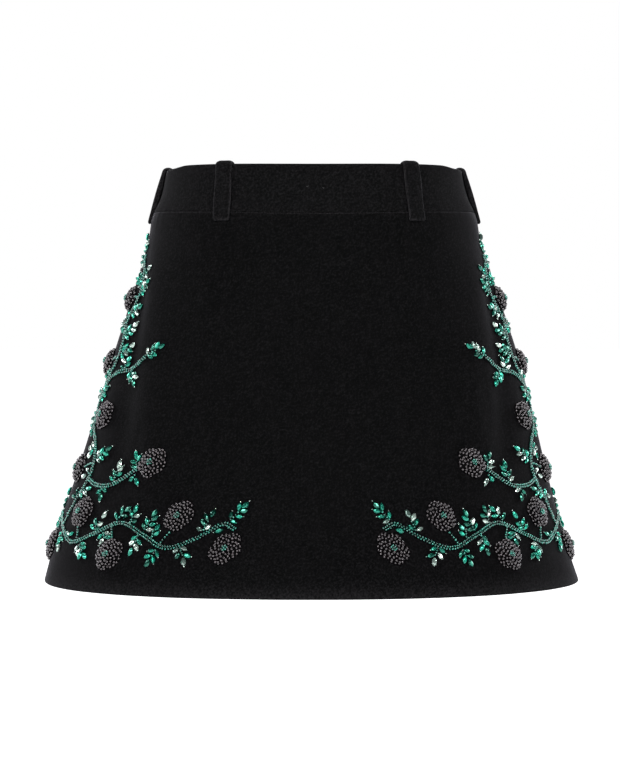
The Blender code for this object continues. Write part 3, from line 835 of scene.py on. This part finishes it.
# embroidery, worked out for one quarter and sewn alike on all four
flowerCut = {
    # way from the side seam, height above the hem, radius, turn of its petals
    "places": [
        (0.022, 0.033, 0.0140, 0.2),
        (0.074, 0.066, 0.0140, 0.9),
        (0.126, 0.033, 0.0140, 0.0),
        (0.178, 0.068, 0.0135, 0.6),
        (0.230, 0.042, 0.0140, 0.4),
        (0.034, 0.102, 0.0135, 0.7),
        (0.134, 0.112, 0.0135, 0.3),
        (0.054, 0.150, 0.0130, 0.1),
        (0.019, 0.196, 0.0125, 0.5),
        (0.024, 0.252, 0.0115, 0.8),
    ],
    "petals": 5,
    "height": 0.0062,
    "lift": 0.0004,
    "notch": 0.17,
    "groove": 0.22,
    "bluntness": 0.7,
    "bead": 0.0013,  # radius
    "wander": 0.00007,  # how far a bead lies from its place
    "unlike": 0.035,  # how far sizes differ, as a share
    "pitch": 0.00322,
    "rowPitch": 0.00285,
    "edgeGap": 0.6,  # of a row's pitch, between the dome's beads and those round the edge
    "crowding": 0.86,  # of a square pitch to each bead
    "core": (8, 45),  # rings of points, and points round each
    "coreFlare": 0.35,  # of a bead: how far the foot of the core reaches out and down
    "coreSink": 0.55,  # of a bead: how far the core lies under the beads' middles
    "eyeBead": 0.001,
    "eyeReach": 1.9,  # of a bead: how far the ring's beads lie from the middle
    "eyeRise": (0.1, 0.5),  # of a bead: how far the ring is raised, and then the middle one
}

vineCut = {
    "bead": 0.00102,  # radius
    "wander": 0.00006,
    "unlike": 0.06,
    "pitch": 0.00236,
    "wave": 0.011,  # how far apart the swells of a row are
    "spread": 0.001,  # from the middle of a double row to each side
    "rise": 0.0004,
    "rowTurn": 2.1,  # how far apart the swells of two rows are, as a turn
    "stemClear": (0.9, 0.8),  # of a bead and of the spread: how far a leaf keeps off a stem's middle
    # rows of beads, then (way, height above the hem) along the stem, in millimetres
    "stems": [
        (2, [(0, 60), (22, 61), (48, 50), (74, 40), (100, 49), (126, 60), (152, 51), (178, 41), (202, 50),
             (219, 62), (231, 58)]),
        (2, [(44, 53), (52, 72), (62, 92), (63, 108), (53, 126), (37, 140), (29, 158), (34, 178), (44, 196),
             (44, 214), (38, 232), (43, 256), (40, 276), (30, 292)]),
        (2, [(62, 95), (80, 90), (100, 92), (122, 107)]),
        (2, [(34, 176), (52, 187), (72, 191), (90, 203)]),
        (1, [(29, 60), (27, 52), (24, 47)]),
        (1, [(81, 42), (79, 47), (76, 53)]),
        (1, [(117, 58), (120, 52), (123, 47)]),
        (1, [(171, 43), (173, 49), (176, 55)]),
        (1, [(62, 108), (55, 107), (48, 104)]),
        (1, [(30, 152), (36, 153), (41, 151)]),
        (1, [(44, 200), (37, 200), (31, 197)]),
        (1, [(42, 252), (38, 254), (35, 253)]),
    ],
    # way and height above the hem in millimetres, direction in degrees (90 is up), leaves, bend in degrees
    "sprays": [
        (6, 62, 108, 7, -12), (49, 49, 272, 7, 14), (98, 50, 80, 7, -16), (86, 41, 300, 7, 20),
        (151, 53, 62, 7, 18), (147, 53, 284, 7, -18), (190, 44, 288, 7, 18), (205, 54, 98, 7, -14),
        (222, 64, 40, 7, 16), (64, 112, 22, 7, 16), (43, 135, 172, 5, -14), (30, 168, 186, 5, -12),
        (46, 204, 10, 7, 16), (39, 227, 174, 5, -10), (44, 258, 22, 7, 14), (36, 284, 166, 5, -10),
        (30, 292, 108, 7, 10), (88.5, 201.5, 46, 7, -12), (70, 191, 304, 7, 12), (99, 92, 84, 7, 14),
        (88, 90, 276, 3, 10), (62, 189, 112, 5, -10), (119, 60, 66, 5, -12), (12, 60, 262, 3, 0),
        (171, 41, 240, 5, 12), (55, 78, 172, 3, 10), (32, 150, 204, 3, 10), (121, 105, 112, 5, 10),
        (119, 103, 300, 3, 10), (228, 60, 196, 3, 10), (55, 122, 200, 5, 12), (34, 143, 150, 5, -10),
        (43, 218, 32, 7, 14), (40, 240, 8, 5, 12), (42, 268, 34, 7, 12), (31, 165, 20, 5, 14),
        (38, 183, 176, 3, 8), (39, 238, 196, 5, 12), (41, 270, 190, 5, -10), (62, 100, 196, 3, 8),
        (56, 82, 8, 5, 12), (134, 58, 72, 5, 12), (66, 42, 86, 3, 8), (162, 47, 96, 5, 10),
        (110, 53, 296, 5, 12),
    ],
    "leaf": (0.0078, 0.0046, 0.0026),  # length, width, height
    "leafOut": 0.0005,
    "leafTilt": 0.15,
    "leafTurn": (7, 3100, 700),  # degrees, and how fast that changes from place to place
    "opening": (58, 9),  # degrees from the stalk at the first pair of leaves, and how much less for each next
    "pairSize": (0.82, 0.07),  # of a whole leaf at the first pair, and how much more for each next
    "fromSide": 0.0022,  # how far a leaf's middle keeps from the side seam
    # how far along from its middle a leaf is tested or stands in the way, and its half-width there
    "leafClear": ((-0.28, 0.28), (0.0, 0.44), (0.28, 0.28)),
    "leafSolid": ((-0.25, 0.3), (0.0, 0.3), (0.25, 0.3)),
    "flowerClear": 0.0006,  # how far a leaf may reach under a flower's edge
    "stalk": 0.0118,
    "stalkShares": {3: 0.45, 5: 0.8, 7: 1.0},  # by how many leaves it has
    "stalkStart": 1.25,  # of a pitch, from its root to its first bead
    "pairPlaces": (0.55, 0.15),  # of the way between pairs: where the first is, and how far past the last
    "tipBead": 0.00062,
    "tipAhead": 0.7,  # of its radius, past the leaf's point
    "tipShare": 0.45,
    "paleShare": 0.24,
}
stoneCut = {
    "steps": 6,  # facets along each long edge
    "fullness": 0.75,
    "foot": 0.86,
    "girdleHigh": 0.36,
    "crown": (0.76, 0.66),
    "crownHigh": 0.8,
    "table": (0.62, 0.52),  # of the crown
}


def petalLobe(angle):
    return np.abs(np.sin(flowerCut["petals"] * angle / 2)) ** flowerCut["bluntness"]


def flowerDome(radius, share, angle):
    # how far from the flower's middle, and above the cloth, a bead lies at a share of the way out
    cut = flowerCut
    between = (1 - petalLobe(angle)) * share
    rise = (cut["lift"] + cut["height"] - 2 * cut["bead"]) * (1 - cut["groove"] * between)
    reach = (radius - cut["bead"]) * share * (1 - cut["notch"] * between)
    return reach, cut["bead"] + rise * np.sqrt(np.clip(1 - share**2, 0, 1))


def aroundPlace(way, high, reach, angle, out):
    # (way, height, out) of places round a flower's middle
    places = np.broadcast_arrays(way + reach * np.cos(angle), high + reach * np.sin(angle), out)
    return np.stack(places, axis=-1)


def lengthAlong(*values):
    # how far along a curve each of its points is
    return np.concatenate([[0], np.cumsum(np.hypot(*[np.diff(one) for one in values]))])


def flowerBeads(way, high, radius, turn):
    # a row of beads round the petals' edge, and an even spiral of them over the dome
    cut = flowerCut
    angles = np.linspace(0, 2 * math.pi, 721)
    edge, _ = flowerDome(radius, 1.0, angles)
    length = lengthAlong(edge * np.cos(angles), edge * np.sin(angles))
    count = round(length[-1] / cut["pitch"])
    edgeAngles = np.interp(np.arange(count) / count * length[-1], length, angles)
    shares = np.sin(np.linspace(0, math.pi / 2, 200))
    reach, out = flowerDome(radius, shares, math.pi / cut["petals"])
    arc = lengthAlong(reach, out)
    ringArea = 2 * math.pi * (reach[1:] + reach[:-1]) / 2 * np.diff(arc)
    area = np.concatenate([[0], np.cumsum(ringArea)])
    covered = np.interp(arc[-1] - cut["rowPitch"] * cut["edgeGap"], arc, area)
    count = round(covered / (cut["crowding"] * cut["pitch"] ** 2))
    number = np.arange(count) + 0.5
    share = np.concatenate([np.ones(len(edgeAngles)), np.interp(number / count * covered, area, shares)])
    angle = np.concatenate([edgeAngles, number * math.pi * (3 - math.sqrt(5))])
    reach, out = flowerDome(radius, share, angle)
    return aroundPlace(way, high, reach, angle + turn, out)


def flowerCore(way, high, radius, turn):
    # the stiff felt core under the beads, as rings of points from its foot up, then the one at the top
    bead, flare, sink = [flowerCut[key] for key in ("bead", "coreFlare", "coreSink")]
    rings, around = flowerCut["core"]
    shares = np.sin(np.linspace(math.pi / 2, 0, rings + 1))[:-1]
    angles = np.linspace(0, 2 * math.pi, around, endpoint=False)
    share, angle = np.meshgrid(shares, angles, indexing="ij")
    reach, out = flowerDome(radius, share, angle)
    reach, out = reach + bead * flare * share, out - bead * (sink + flare * share)
    points = aroundPlace(way, high, reach, angle + turn, out)
    top = [way, high, flowerDome(radius, 0.0, 0.0)[1] - bead * sink]
    return np.concatenate([points.reshape(-1, 3), [top]])


def coreFaces(first):
    # rings of quads, then triangles round the top; the foot is open on the cloth
    quads, last, nextOne = tubeFaces(*flowerCut["core"], first)
    return quads, np.stack([last, nextOne, np.full(len(last), last[-1] + 1)], axis=-1)


def flowerEye(way, high, _, turn):
    # a small ring of green beads round one in the middle
    cut = flowerCut
    low, rise = [cut["eyeBead"] * share for share in cut["eyeRise"]]
    out = cut["lift"] + cut["height"] + low
    angles = np.arange(6) / 6 * 2 * math.pi + turn
    ring = aroundPlace(way, high, cut["eyeBead"] * cut["eyeReach"], angles, out)
    return np.concatenate([ring, [[way, high, out + rise]]])


def smoothLine(points, spacing):
    # a curve through points in millimetres: how far along, and (way, height) and direction there
    points = np.array(points) / 1000
    padded = np.concatenate([[2 * points[0] - points[1]], points, [2 * points[-1] - points[-2]]])
    t = np.linspace(0, 1, 24, endpoint=False)[:, None]
    curve = []
    for a, b, c, d in zip(padded[:-3], padded[1:-2], padded[2:-1], padded[3:]):
        squared = (2 * a - 5 * b + 4 * c - d) * t**2
        cubed = (3 * b - a - 3 * c + d) * t**3
        curve.append(0.5 * (2 * b + (c - a) * t + squared + cubed))
    curve = np.concatenate(curve + [points[-1:]])
    length = lengthAlong(*curve.T)
    at = np.arange(0, length[-1], spacing)
    line = np.stack([np.interp(at, length, values) for values in curve.T], axis=1)
    return at, line, unit(np.gradient(line, axis=0))


def stemBeads(rows, points):
    # seed beads in one row, or in two that sit half a bead apart; (way, height, out) of each
    cut = vineCut
    at, line, ahead = smoothLine(points, cut["pitch"])
    across = np.stack([-ahead[:, 1], ahead[:, 0]], axis=1)
    beads = []
    for row in range(rows):
        hand = 2 * row - 1 if rows > 1 else 0
        spots = line + across * hand * cut["spread"] + ahead * hand * cut["pitch"] / 4
        swell = (1 + np.sin(2 * math.pi * at / cut["wave"] + row * cut["rowTurn"])) / 2
        beads.append(np.column_stack([spots, cut["bead"] + cut["rise"] * swell]))
    return np.concatenate(beads)


def pointing(degrees):
    return np.stack([np.cos(np.radians(degrees)), np.sin(np.radians(degrees))], axis=-1)


def sprayOf(way, high, direction, leaves, bend):
    # a short beaded stalk with a leaf at its end and the others in pairs down it
    cut = vineCut
    start = np.array([way, high]) / 1000
    length = cut["stalk"] * cut["stalkShares"][leaves]
    steps = np.arange(cut["pitch"] * cut["stalkStart"], length, cut["pitch"])
    headings = direction + bend * steps / length
    stalk = start + pointing(headings) * steps[:, None]
    found = [(start + length * pointing(headings[-1]), headings[-1], 1.0)]
    pairs = (leaves - 1) // 2
    (opening, closing), (size, growth), (first, past) = cut["opening"], cut["pairSize"], cut["pairPlaces"]
    for pair in range(pairs):
        share = (pair + first) / (pairs + past)
        heading = direction + bend * share
        root = start + length * share * pointing(heading)
        for hand in (-1, 1):
            found.append((root, heading + hand * (opening - closing * pair), size + growth * pair))
    leafList = []
    most, acrossRate, upRate = cut["leafTurn"]
    for root, heading, size in found:
        ahead = pointing(heading + most * math.sin(acrossRate * root[0] + upRate * root[1]))
        leafList.append((root + ahead * (cut["leaf"][0] * size / 2 + cut["bead"]), ahead, size))
    return stalk, leafList


def leafDiscs(middle, ahead, size, shares):
    # discs that stand for a leaf: (way, height, radius)
    long, wide, _ = vineCut["leaf"]
    return [(*(middle + ahead * long * size * share), wide * size * half) for share, half in shares]


def isClear(leaf, discs):
    # whether a leaf keeps off the side seam and clear of what is sewn on already
    if leaf[0][0] <= vineCut["fromSide"]:
        return False
    way, high, radius = np.array(discs).T
    tested = leafDiscs(*leaf, vineCut["leafClear"])
    return all((np.hypot(way - x, high - z) - radius - half).min() >= 0 for x, z, half in tested)


def outsideFlowers(spot):
    places = flowerCut["places"]
    return all(math.hypot(spot[0] - way, spot[1] - high) > radius for way, high, radius, _ in places)


def drawQuarter():
    # the whole design of one quarter, in (way, height above the hem, out from the cloth)
    cut, places = vineCut, flowerCut["places"]
    stems = [stemBeads(rows, points) for rows, points in cut["stems"]]
    discs = [(way, high, radius - cut["flowerClear"]) for way, high, radius, _ in places]
    ofBead, ofSpread = cut["stemClear"]
    for rows, points in cut["stems"]:
        half = cut["bead"] * ofBead + (cut["spread"] * ofSpread if rows > 1 else 0)
        discs += [(way, high, half) for way, high in smoothLine(points, 0.002)[1]]
    leaves = []
    for spray in cut["sprays"]:
        stalk, found = sprayOf(*spray)
        before = len(leaves)
        for leaf in found:
            if isClear(leaf, discs):
                leaves.append(leaf)
                discs += leafDiscs(*leaf, cut["leafSolid"])
        if len(leaves) > before:
            clear = np.array([bead for bead in stalk if outsideFlowers(bead)]).reshape(-1, 2)
            stems.append(np.column_stack([clear, np.full(len(clear), cut["bead"])]))
    cores = [flowerCore(*place) for place in places]
    faces = [coreFaces(number * len(cores[0])) for number in range(len(cores))]
    return {
        "flowers": np.concatenate([flowerBeads(*place) for place in places]),
        "eyes": np.concatenate([flowerEye(*place) for place in places]),
        "cores": np.concatenate(cores),
        "coreFaces": [np.concatenate(kind) for kind in zip(*faces)],
        "stems": np.concatenate(stems),
        "leaves": leaves,
    }


def navetteTemplate():
    # a cut stone, pointed at both ends: girdle, crown facets and a small table; 1 long, 1 wide, 1 high
    cut = stoneCut
    steps = cut["steps"]
    count = 2 * steps
    girdle = []
    for number in range(count):
        turn = math.pi * number / steps
        x = math.cos(turn)
        y = math.copysign((1 - x * x) ** cut["fullness"], math.sin(turn)) if number % steps else 0.0
        girdle.append((x / 2, y / 2))
    girdle = np.array(girdle)
    crown = (girdle + np.roll(girdle, -1, axis=0)) / 2 * cut["crown"]
    rings = [(girdle * cut["foot"], 0.0), (girdle, cut["girdleHigh"])]
    rings += [(crown, cut["crownHigh"]), (crown * cut["table"], 1.0)]
    points = np.concatenate([np.column_stack([ring, np.full(len(ring), high)]) for ring, high in rings])
    faces = []
    for one in range(count):
        two = (one + 1) % count
        for ring in (0, 2):
            low, high = ring * count, (ring + 1) * count
            faces += [(low + one, low + two, high + two), (low + one, high + two, high + one)]
        faces.append((count + one, count + two, 2 * count + one))
        faces.append((count + two, 2 * count + two, 2 * count + one))
        if 0 < one < count - 1:
            faces.append((3 * count, 3 * count + one, 3 * count + one + 1))
            faces.append((0, one + 1, one))
    return points, np.array(faces)


def sewEmbroidery():
    design = drawQuarter()
    bead = ballTemplate(10, 7)
    seed = ballTemplate(7, 5)
    stone = navetteTemplate()
    made = []
    gathered = {"eyes": [], "emerald": [], "pale": [], "tips": []}

    def sewnAt(quarter, way, high, out):
        return onCloth(*quarter, way, skirtForm["hem"] + high, out)

    def beadsOf(name, template, places, cut, material):
        places += chance.normal(0, cut["wander"], places.shape)
        sizes = cut["bead"] * (1 + chance.normal(0, cut["unlike"], len(places)))
        return scatter(name, template, places, sizes[:, None], material)

    for side, face in quarters:
        quarter = (side, face)
        hand = "left" if side < 0 else "right"
        ending = face.capitalize() + hand.capitalize()
        spots = {part: sewnAt(quarter, *design[part].T)[0] for part in ("flowers", "cores", "stems", "eyes")}
        flowers = beadsOf("flowerBeads" + ending, bead, spots["flowers"], flowerCut, darkBead)
        numbers = range(1, len(flowerCut["places"]) + 1)
        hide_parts(*["flower_%s_%s_%02d" % (face, hand, number) for number in numbers])
        cores = addMesh("flowerCores" + ending, spots["cores"], design["coreFaces"], [coreFelt])
        if (side < 0) == (face == "front"):
            cores.data.flip_normals()
        vine = beadsOf("vineBeads" + ending, seed, spots["stems"], vineCut, seedBead)
        made += [flowers, cores, vine]
        gathered["eyes"].append(spots["eyes"])
        for middle, ahead, size in design["leaves"]:
            ends = middle + np.outer((-0.5, 0.5), ahead) * vineCut["leaf"][0] * size
            spots, outs = sewnAt(quarter, *ends.T, vineCut["leafOut"])
            along = unit(spots[1] - spots[0])
            outward = unit(unit(outs.mean(axis=0)) + chance.normal(0, vineCut["leafTilt"], 3))
            outward = squareTo(along, outward)
            kind = "pale" if chance.random() < vineCut["paleShare"] else "emerald"
            gathered[kind].append((spots.mean(axis=0), along, outward, size))
            if chance.random() < vineCut["tipShare"]:
                shift = (along * vineCut["tipAhead"] + outward) * vineCut["tipBead"]
                gathered["tips"].append(spots[1] + shift)
    eyes = np.concatenate(gathered["eyes"])
    made.append(scatter("flowerEyes", seed, eyes, flowerCut["eyeBead"], seedBead))
    for kind, material, slot in (("emerald", emerald, "crystals"), ("pale", paleStone, "pale_crystals")):
        places, along, outward, size = [np.array(part) for part in zip(*gathered[kind])]
        sizes = size[:, None] * vineCut["leaf"]
        made.append(scatter(kind + "Leaves", stone, places, sizes, material, along, outward, smooth=False))
    tips = np.array(gathered["tips"])
    made.append(scatter("tipBeads", seed, tips, vineCut["tipBead"], paleStone))
    for label, part in (("flower beads", "flowers"), ("seed beads", "stems"), ("leaves", "leaves")):
        print("sewn on:", len(design[part]) * len(quarters), label)
    return made


embroidery = sewEmbroidery()

# zip at the centre back, inside
zipCut = {
    "foot": -0.185,
    "tapeWide": 0.0115,  # to each side
    "tapeThick": 0.0007,
    "tapePast": 0.012,  # below the stop
    "tapeStart": 0.0018,  # from the middle
    "under": 0.0007,  # behind the cloth's inner face
    "toothPitch": 0.0013,
    "toothShift": 0.0009,  # to each side, by turns
    "toothDepth": 0.0006,
    "top": (0.002, 0.006),  # how far below the band's top the tapes and the teeth start
    "toothSize": (0.0019, 0.00052, 0.0008),
    "stopShift": 0.002,  # below the last tooth
    "stopSize": (0.0027, 0.0024, 0.0011),
}


def backInside(x, height, deeper=0.0):
    # a place behind the cloth's inner face near the centre back
    x, height = np.broadcast_arrays(x, height)
    blend = smoothStep((height - skirtForm["seam"] + 0.003) / 0.006)
    thick = clothCut["panelThick"] + (clothCut["bandThick"] - clothCut["panelThick"]) * blend
    under = thick + zipCut["under"] + deeper
    places = np.empty((*x.shape, 3))
    for side, here in ((-1, x < 0), (1, x >= 0)):
        if here.any():
            way = reachAt(side, "back", height[here]) - np.abs(x[here])
            places[here] = onCloth(side, "back", way, height[here], -under[here])[0]
    return places


def makeZip():
    cut = zipCut
    tapes = []
    tapeTop, teethTop = [skirtForm["bandTop"] - drop for drop in cut["top"]]
    heights = np.linspace(tapeTop, cut["foot"] - cut["tapePast"], 90)
    for name, hand in (("Left", -1), ("Right", 1)):
        rows = []
        for share, layer in ((0, 0), (0.5, 0), (1, 0), (1, 1), (0.5, 1), (0, 1)):
            apart = cut["tapeStart"] + (cut["tapeWide"] - cut["tapeStart"]) * share
            rows.append(backInside(hand * apart, heights, cut["tapeThick"] * layer))
        tape = addTube("zipTape" + name, np.stack(rows, axis=1), tapeCloth, smooth=False)
        tapes.append(tape)
    teeth = np.arange(teethTop, cut["foot"], -cut["toothPitch"])
    hands = np.where(np.arange(len(teeth)) % 2, -1, 1)
    places = backInside(hands * cut["toothShift"], teeth, cut["toothDepth"])
    ways = {"along": (1, 0, 0), "outward": (0, -1, 0)}
    coil = scatter("zipCoil", ballTemplate(8, 5), places, cut["toothSize"], blackThread, **ways)
    places = backInside([0.0], cut["foot"] - cut["stopShift"], cut["toothDepth"])
    stop = scatter("zipStop", ballTemplate(10, 6), places, cut["stopSize"], zipMetal, **ways)
    return tapes, [coil, stop]


zipTapes, zipSmall = makeZip()
for nodeName in ("zip_slider", "zip_pull"):
    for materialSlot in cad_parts[nodeName].material_slots:
        materialSlot.material = zipMetal
print("zip made")

# sewing
stitchCut = {
    "size": (0.0034, 0.00022, 0.00022),
    "hemPitch": 0.0062,
    "slant": 1.1,  # rise over run
    "fromSeam": 0.016,
    "depth": 0.0004,  # in from the cloth's inner face
    "bow": (1.6, 0.9),  # in thicknesses: how far the middle stands up, and how deep the ends go in
    "looseSize": (0.0021, 0.00016, 0.00016),
    "looseOut": 0.0004,
    "tackPlaces": [(-0.0058, 0.0015, 5), (0.0078, 0.0002, -50)],  # x, z and lean of two loose threads
}


def stitchTemplate():
    # a short thread that dips into the cloth at both ends
    bm = bmesh.new()
    bmesh.ops.create_cone(bm, cap_ends=True, segments=6, radius1=1.0, radius2=1.0, depth=1.0)
    lengthwise = [edge for edge in bm.edges if abs(edge.verts[0].co.z - edge.verts[1].co.z) > 0.5]
    bmesh.ops.subdivide_edges(bm, edges=lengthwise, cuts=4)
    points, faces = templateFrom(bm)
    bow = 1 - (2 * points[:, 2]) ** 2
    full = 0.55 + 0.45 * bow
    high, deep = stitchCut["bow"]
    points = [points[:, 2], points[:, 1] * full, points[:, 0] * full + high * bow - deep]
    return np.column_stack(points), faces


def makeSewing():
    cut = stitchCut
    thread = stitchTemplate()
    height = skirtForm["hem"] + clothCut["hemTurn"]
    inside = cut["depth"] - clothCut["panelThick"]
    found = []
    for side, face in quarters:
        ways = np.arange(cut["fromSeam"], reachAt(side, face, height) - cut["fromSeam"], cut["hemPitch"])
        spots, outs = onCloth(side, face, ways, height, inside)
        ahead, _ = onCloth(side, face, ways + 0.001, height + 0.001 * cut["slant"], inside)
        found.append((spots, unit(ahead - spots), -outs))
    places, along, outward = [np.concatenate(part) for part in zip(*found)]
    outward = squareTo(along, outward)
    hemStitches = scatter("hemStitches", thread, places, cut["size"], blackThread, along, outward)
    found = []
    for x, z, lean in cut["tackPlaces"]:
        side = -1 if x < 0 else 1
        spot, out = onCloth(side, "front", reachAt(side, "front", z) - abs(x), z, cut["looseOut"])
        ahead, up = pointing(lean)
        found.append((spot, (ahead, 0.0, up), out))
    places, along, outward = [np.array(part) for part in zip(*found)]
    along = squareTo(outward, along)
    loose = scatter("looseThreads", thread, places, cut["looseSize"], greyThread, along, outward)
    return [hemStitches, loose]


sewing = makeSewing()
print("sewing done")

# floor, light and camera
studio = {
    "floor": -0.78,
    "floorReach": 30.0,
    "floorGlow": 1.0,  # seen by the camera alone
    "camera": (-0.0036, -2.1, -0.0958),
    "tilt": 1.927,  # degrees down
    "lens": 110.95,
    "sensor": 36.0,
    "target": (0.0, 0.0, -0.14),  # where the lamps point
    # x, y, z, width, height, watts, colour
    "lamps": [
        (-2.0, 0.9, 0.7, 0.9, 1.9, 65, (0.95, 0.97, 1.0)),
        (2.0, 0.9, 0.7, 0.9, 1.9, 65, (0.95, 0.97, 1.0)),
        (-1.0, -2.2, 1.3, 0.9, 0.9, 58, (1.0, 0.99, 0.97)),
        (1.5, -1.9, 0.7, 0.4, 1.3, 35, (1.0, 0.99, 0.97)),
        (-2.1, -1.3, 0.2, 0.4, 1.4, 12, (1.0, 0.99, 0.97)),
        (0.2, -2.5, 0.45, 0.5, 0.5, 20, (1.0, 1.0, 1.0)),
        (0.0, 0.4, 2.3, 1.6, 1.2, 50, (1.0, 1.0, 1.0)),
        (0.0, 2.4, 0.9, 1.8, 1.0, 50, (1.0, 1.0, 1.0)),
    ],
}


def makeFloor():
    bm = bmesh.new()
    bmesh.ops.create_circle(bm, cap_ends=True, segments=96, radius=studio["floorReach"])
    bmesh.ops.translate(bm, verts=bm.verts[:], vec=(0, 0, studio["floor"]))
    mesh = bpy.data.meshes.new("floor")
    bm.to_mesh(mesh)
    bm.free()
    floor = addObject("floor", mesh)
    values = {"Roughness": 0.9, "Specular IOR Level": 0.1, "Emission Strength": studio["floorGlow"]}
    made, tree, shader = startMaterial("paleFloor", values)
    seen = addNode(tree, "LightPath", {})["Is Camera Ray"]
    nap = useGroup(tree, napGroup, Across=2.0, Down=2.0, Fuzz=300.0)
    feed(tree, shader, {
        "Emission Color": rampBetween(tree, seen, (0.0, 0.0, 0.0), (1.0, 1.0, 1.0)),
        "Base Color": rampBetween(tree, nap["Streak"], (0.90, 0.90, 0.90), (0.93, 0.93, 0.93), 0.3, 0.7),
    })
    mesh.materials.append(made)


def makeWorld():
    world = bpy.data.worlds.new("studio")
    world.use_nodes = True
    tree = world.node_tree
    split = addNode(tree, "SeparateXYZ", {0: placeIn(tree, "Generated")})
    sky = rampBetween(tree, split["Z"], (0.20, 0.20, 0.21), (0.08, 0.08, 0.09), 0.05, 0.60)
    seen = addNode(tree, "LightPath", {})["Is Camera Ray"]
    colour = rampBetween(tree, seen, sky, (1.0, 1.0, 1.0))
    feed(tree, tree.nodes["Background"], {"Color": colour, "Strength": 1.0})
    bpy.context.scene.world = world


def makeLamps():
    for number, (x, y, z, width, height, watts, colour) in enumerate(studio["lamps"]):
        lamp = bpy.data.lights.new("softbox%d" % number, "AREA")
        lamp.shape = "RECTANGLE"
        lamp.size, lamp.size_y = width, height
        lamp.energy = watts
        lamp.color = colour
        holder = addObject(lamp.name, lamp)
        holder.location = (x, y, z)
        towards = Vector(studio["target"]) - holder.location
        holder.rotation_euler = towards.to_track_quat("-Z", "Y").to_euler()


def makeCamera():
    lens = bpy.data.cameras.new("camera")
    lens.sensor_fit = "VERTICAL"
    lens.sensor_height = studio["sensor"]
    lens.sensor_width = studio["sensor"]
    lens.lens = studio["lens"]
    camera = addObject("camera", lens)
    camera.location = studio["camera"]
    camera.rotation_euler = (math.radians(90 - studio["tilt"]), 0.0, 0.0)
    bpy.context.scene.camera = camera
    bpy.context.scene.view_settings.view_transform = "Standard"


makeFloor()
makeWorld()
makeLamps()
makeCamera()
print("studio ready")

# what each piece is
for piece in [*clothPieces.values(), *loopPieces.values(), *embroidery, *zipTapes, *zipSmall, *sewing]:
    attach(piece, "garment")
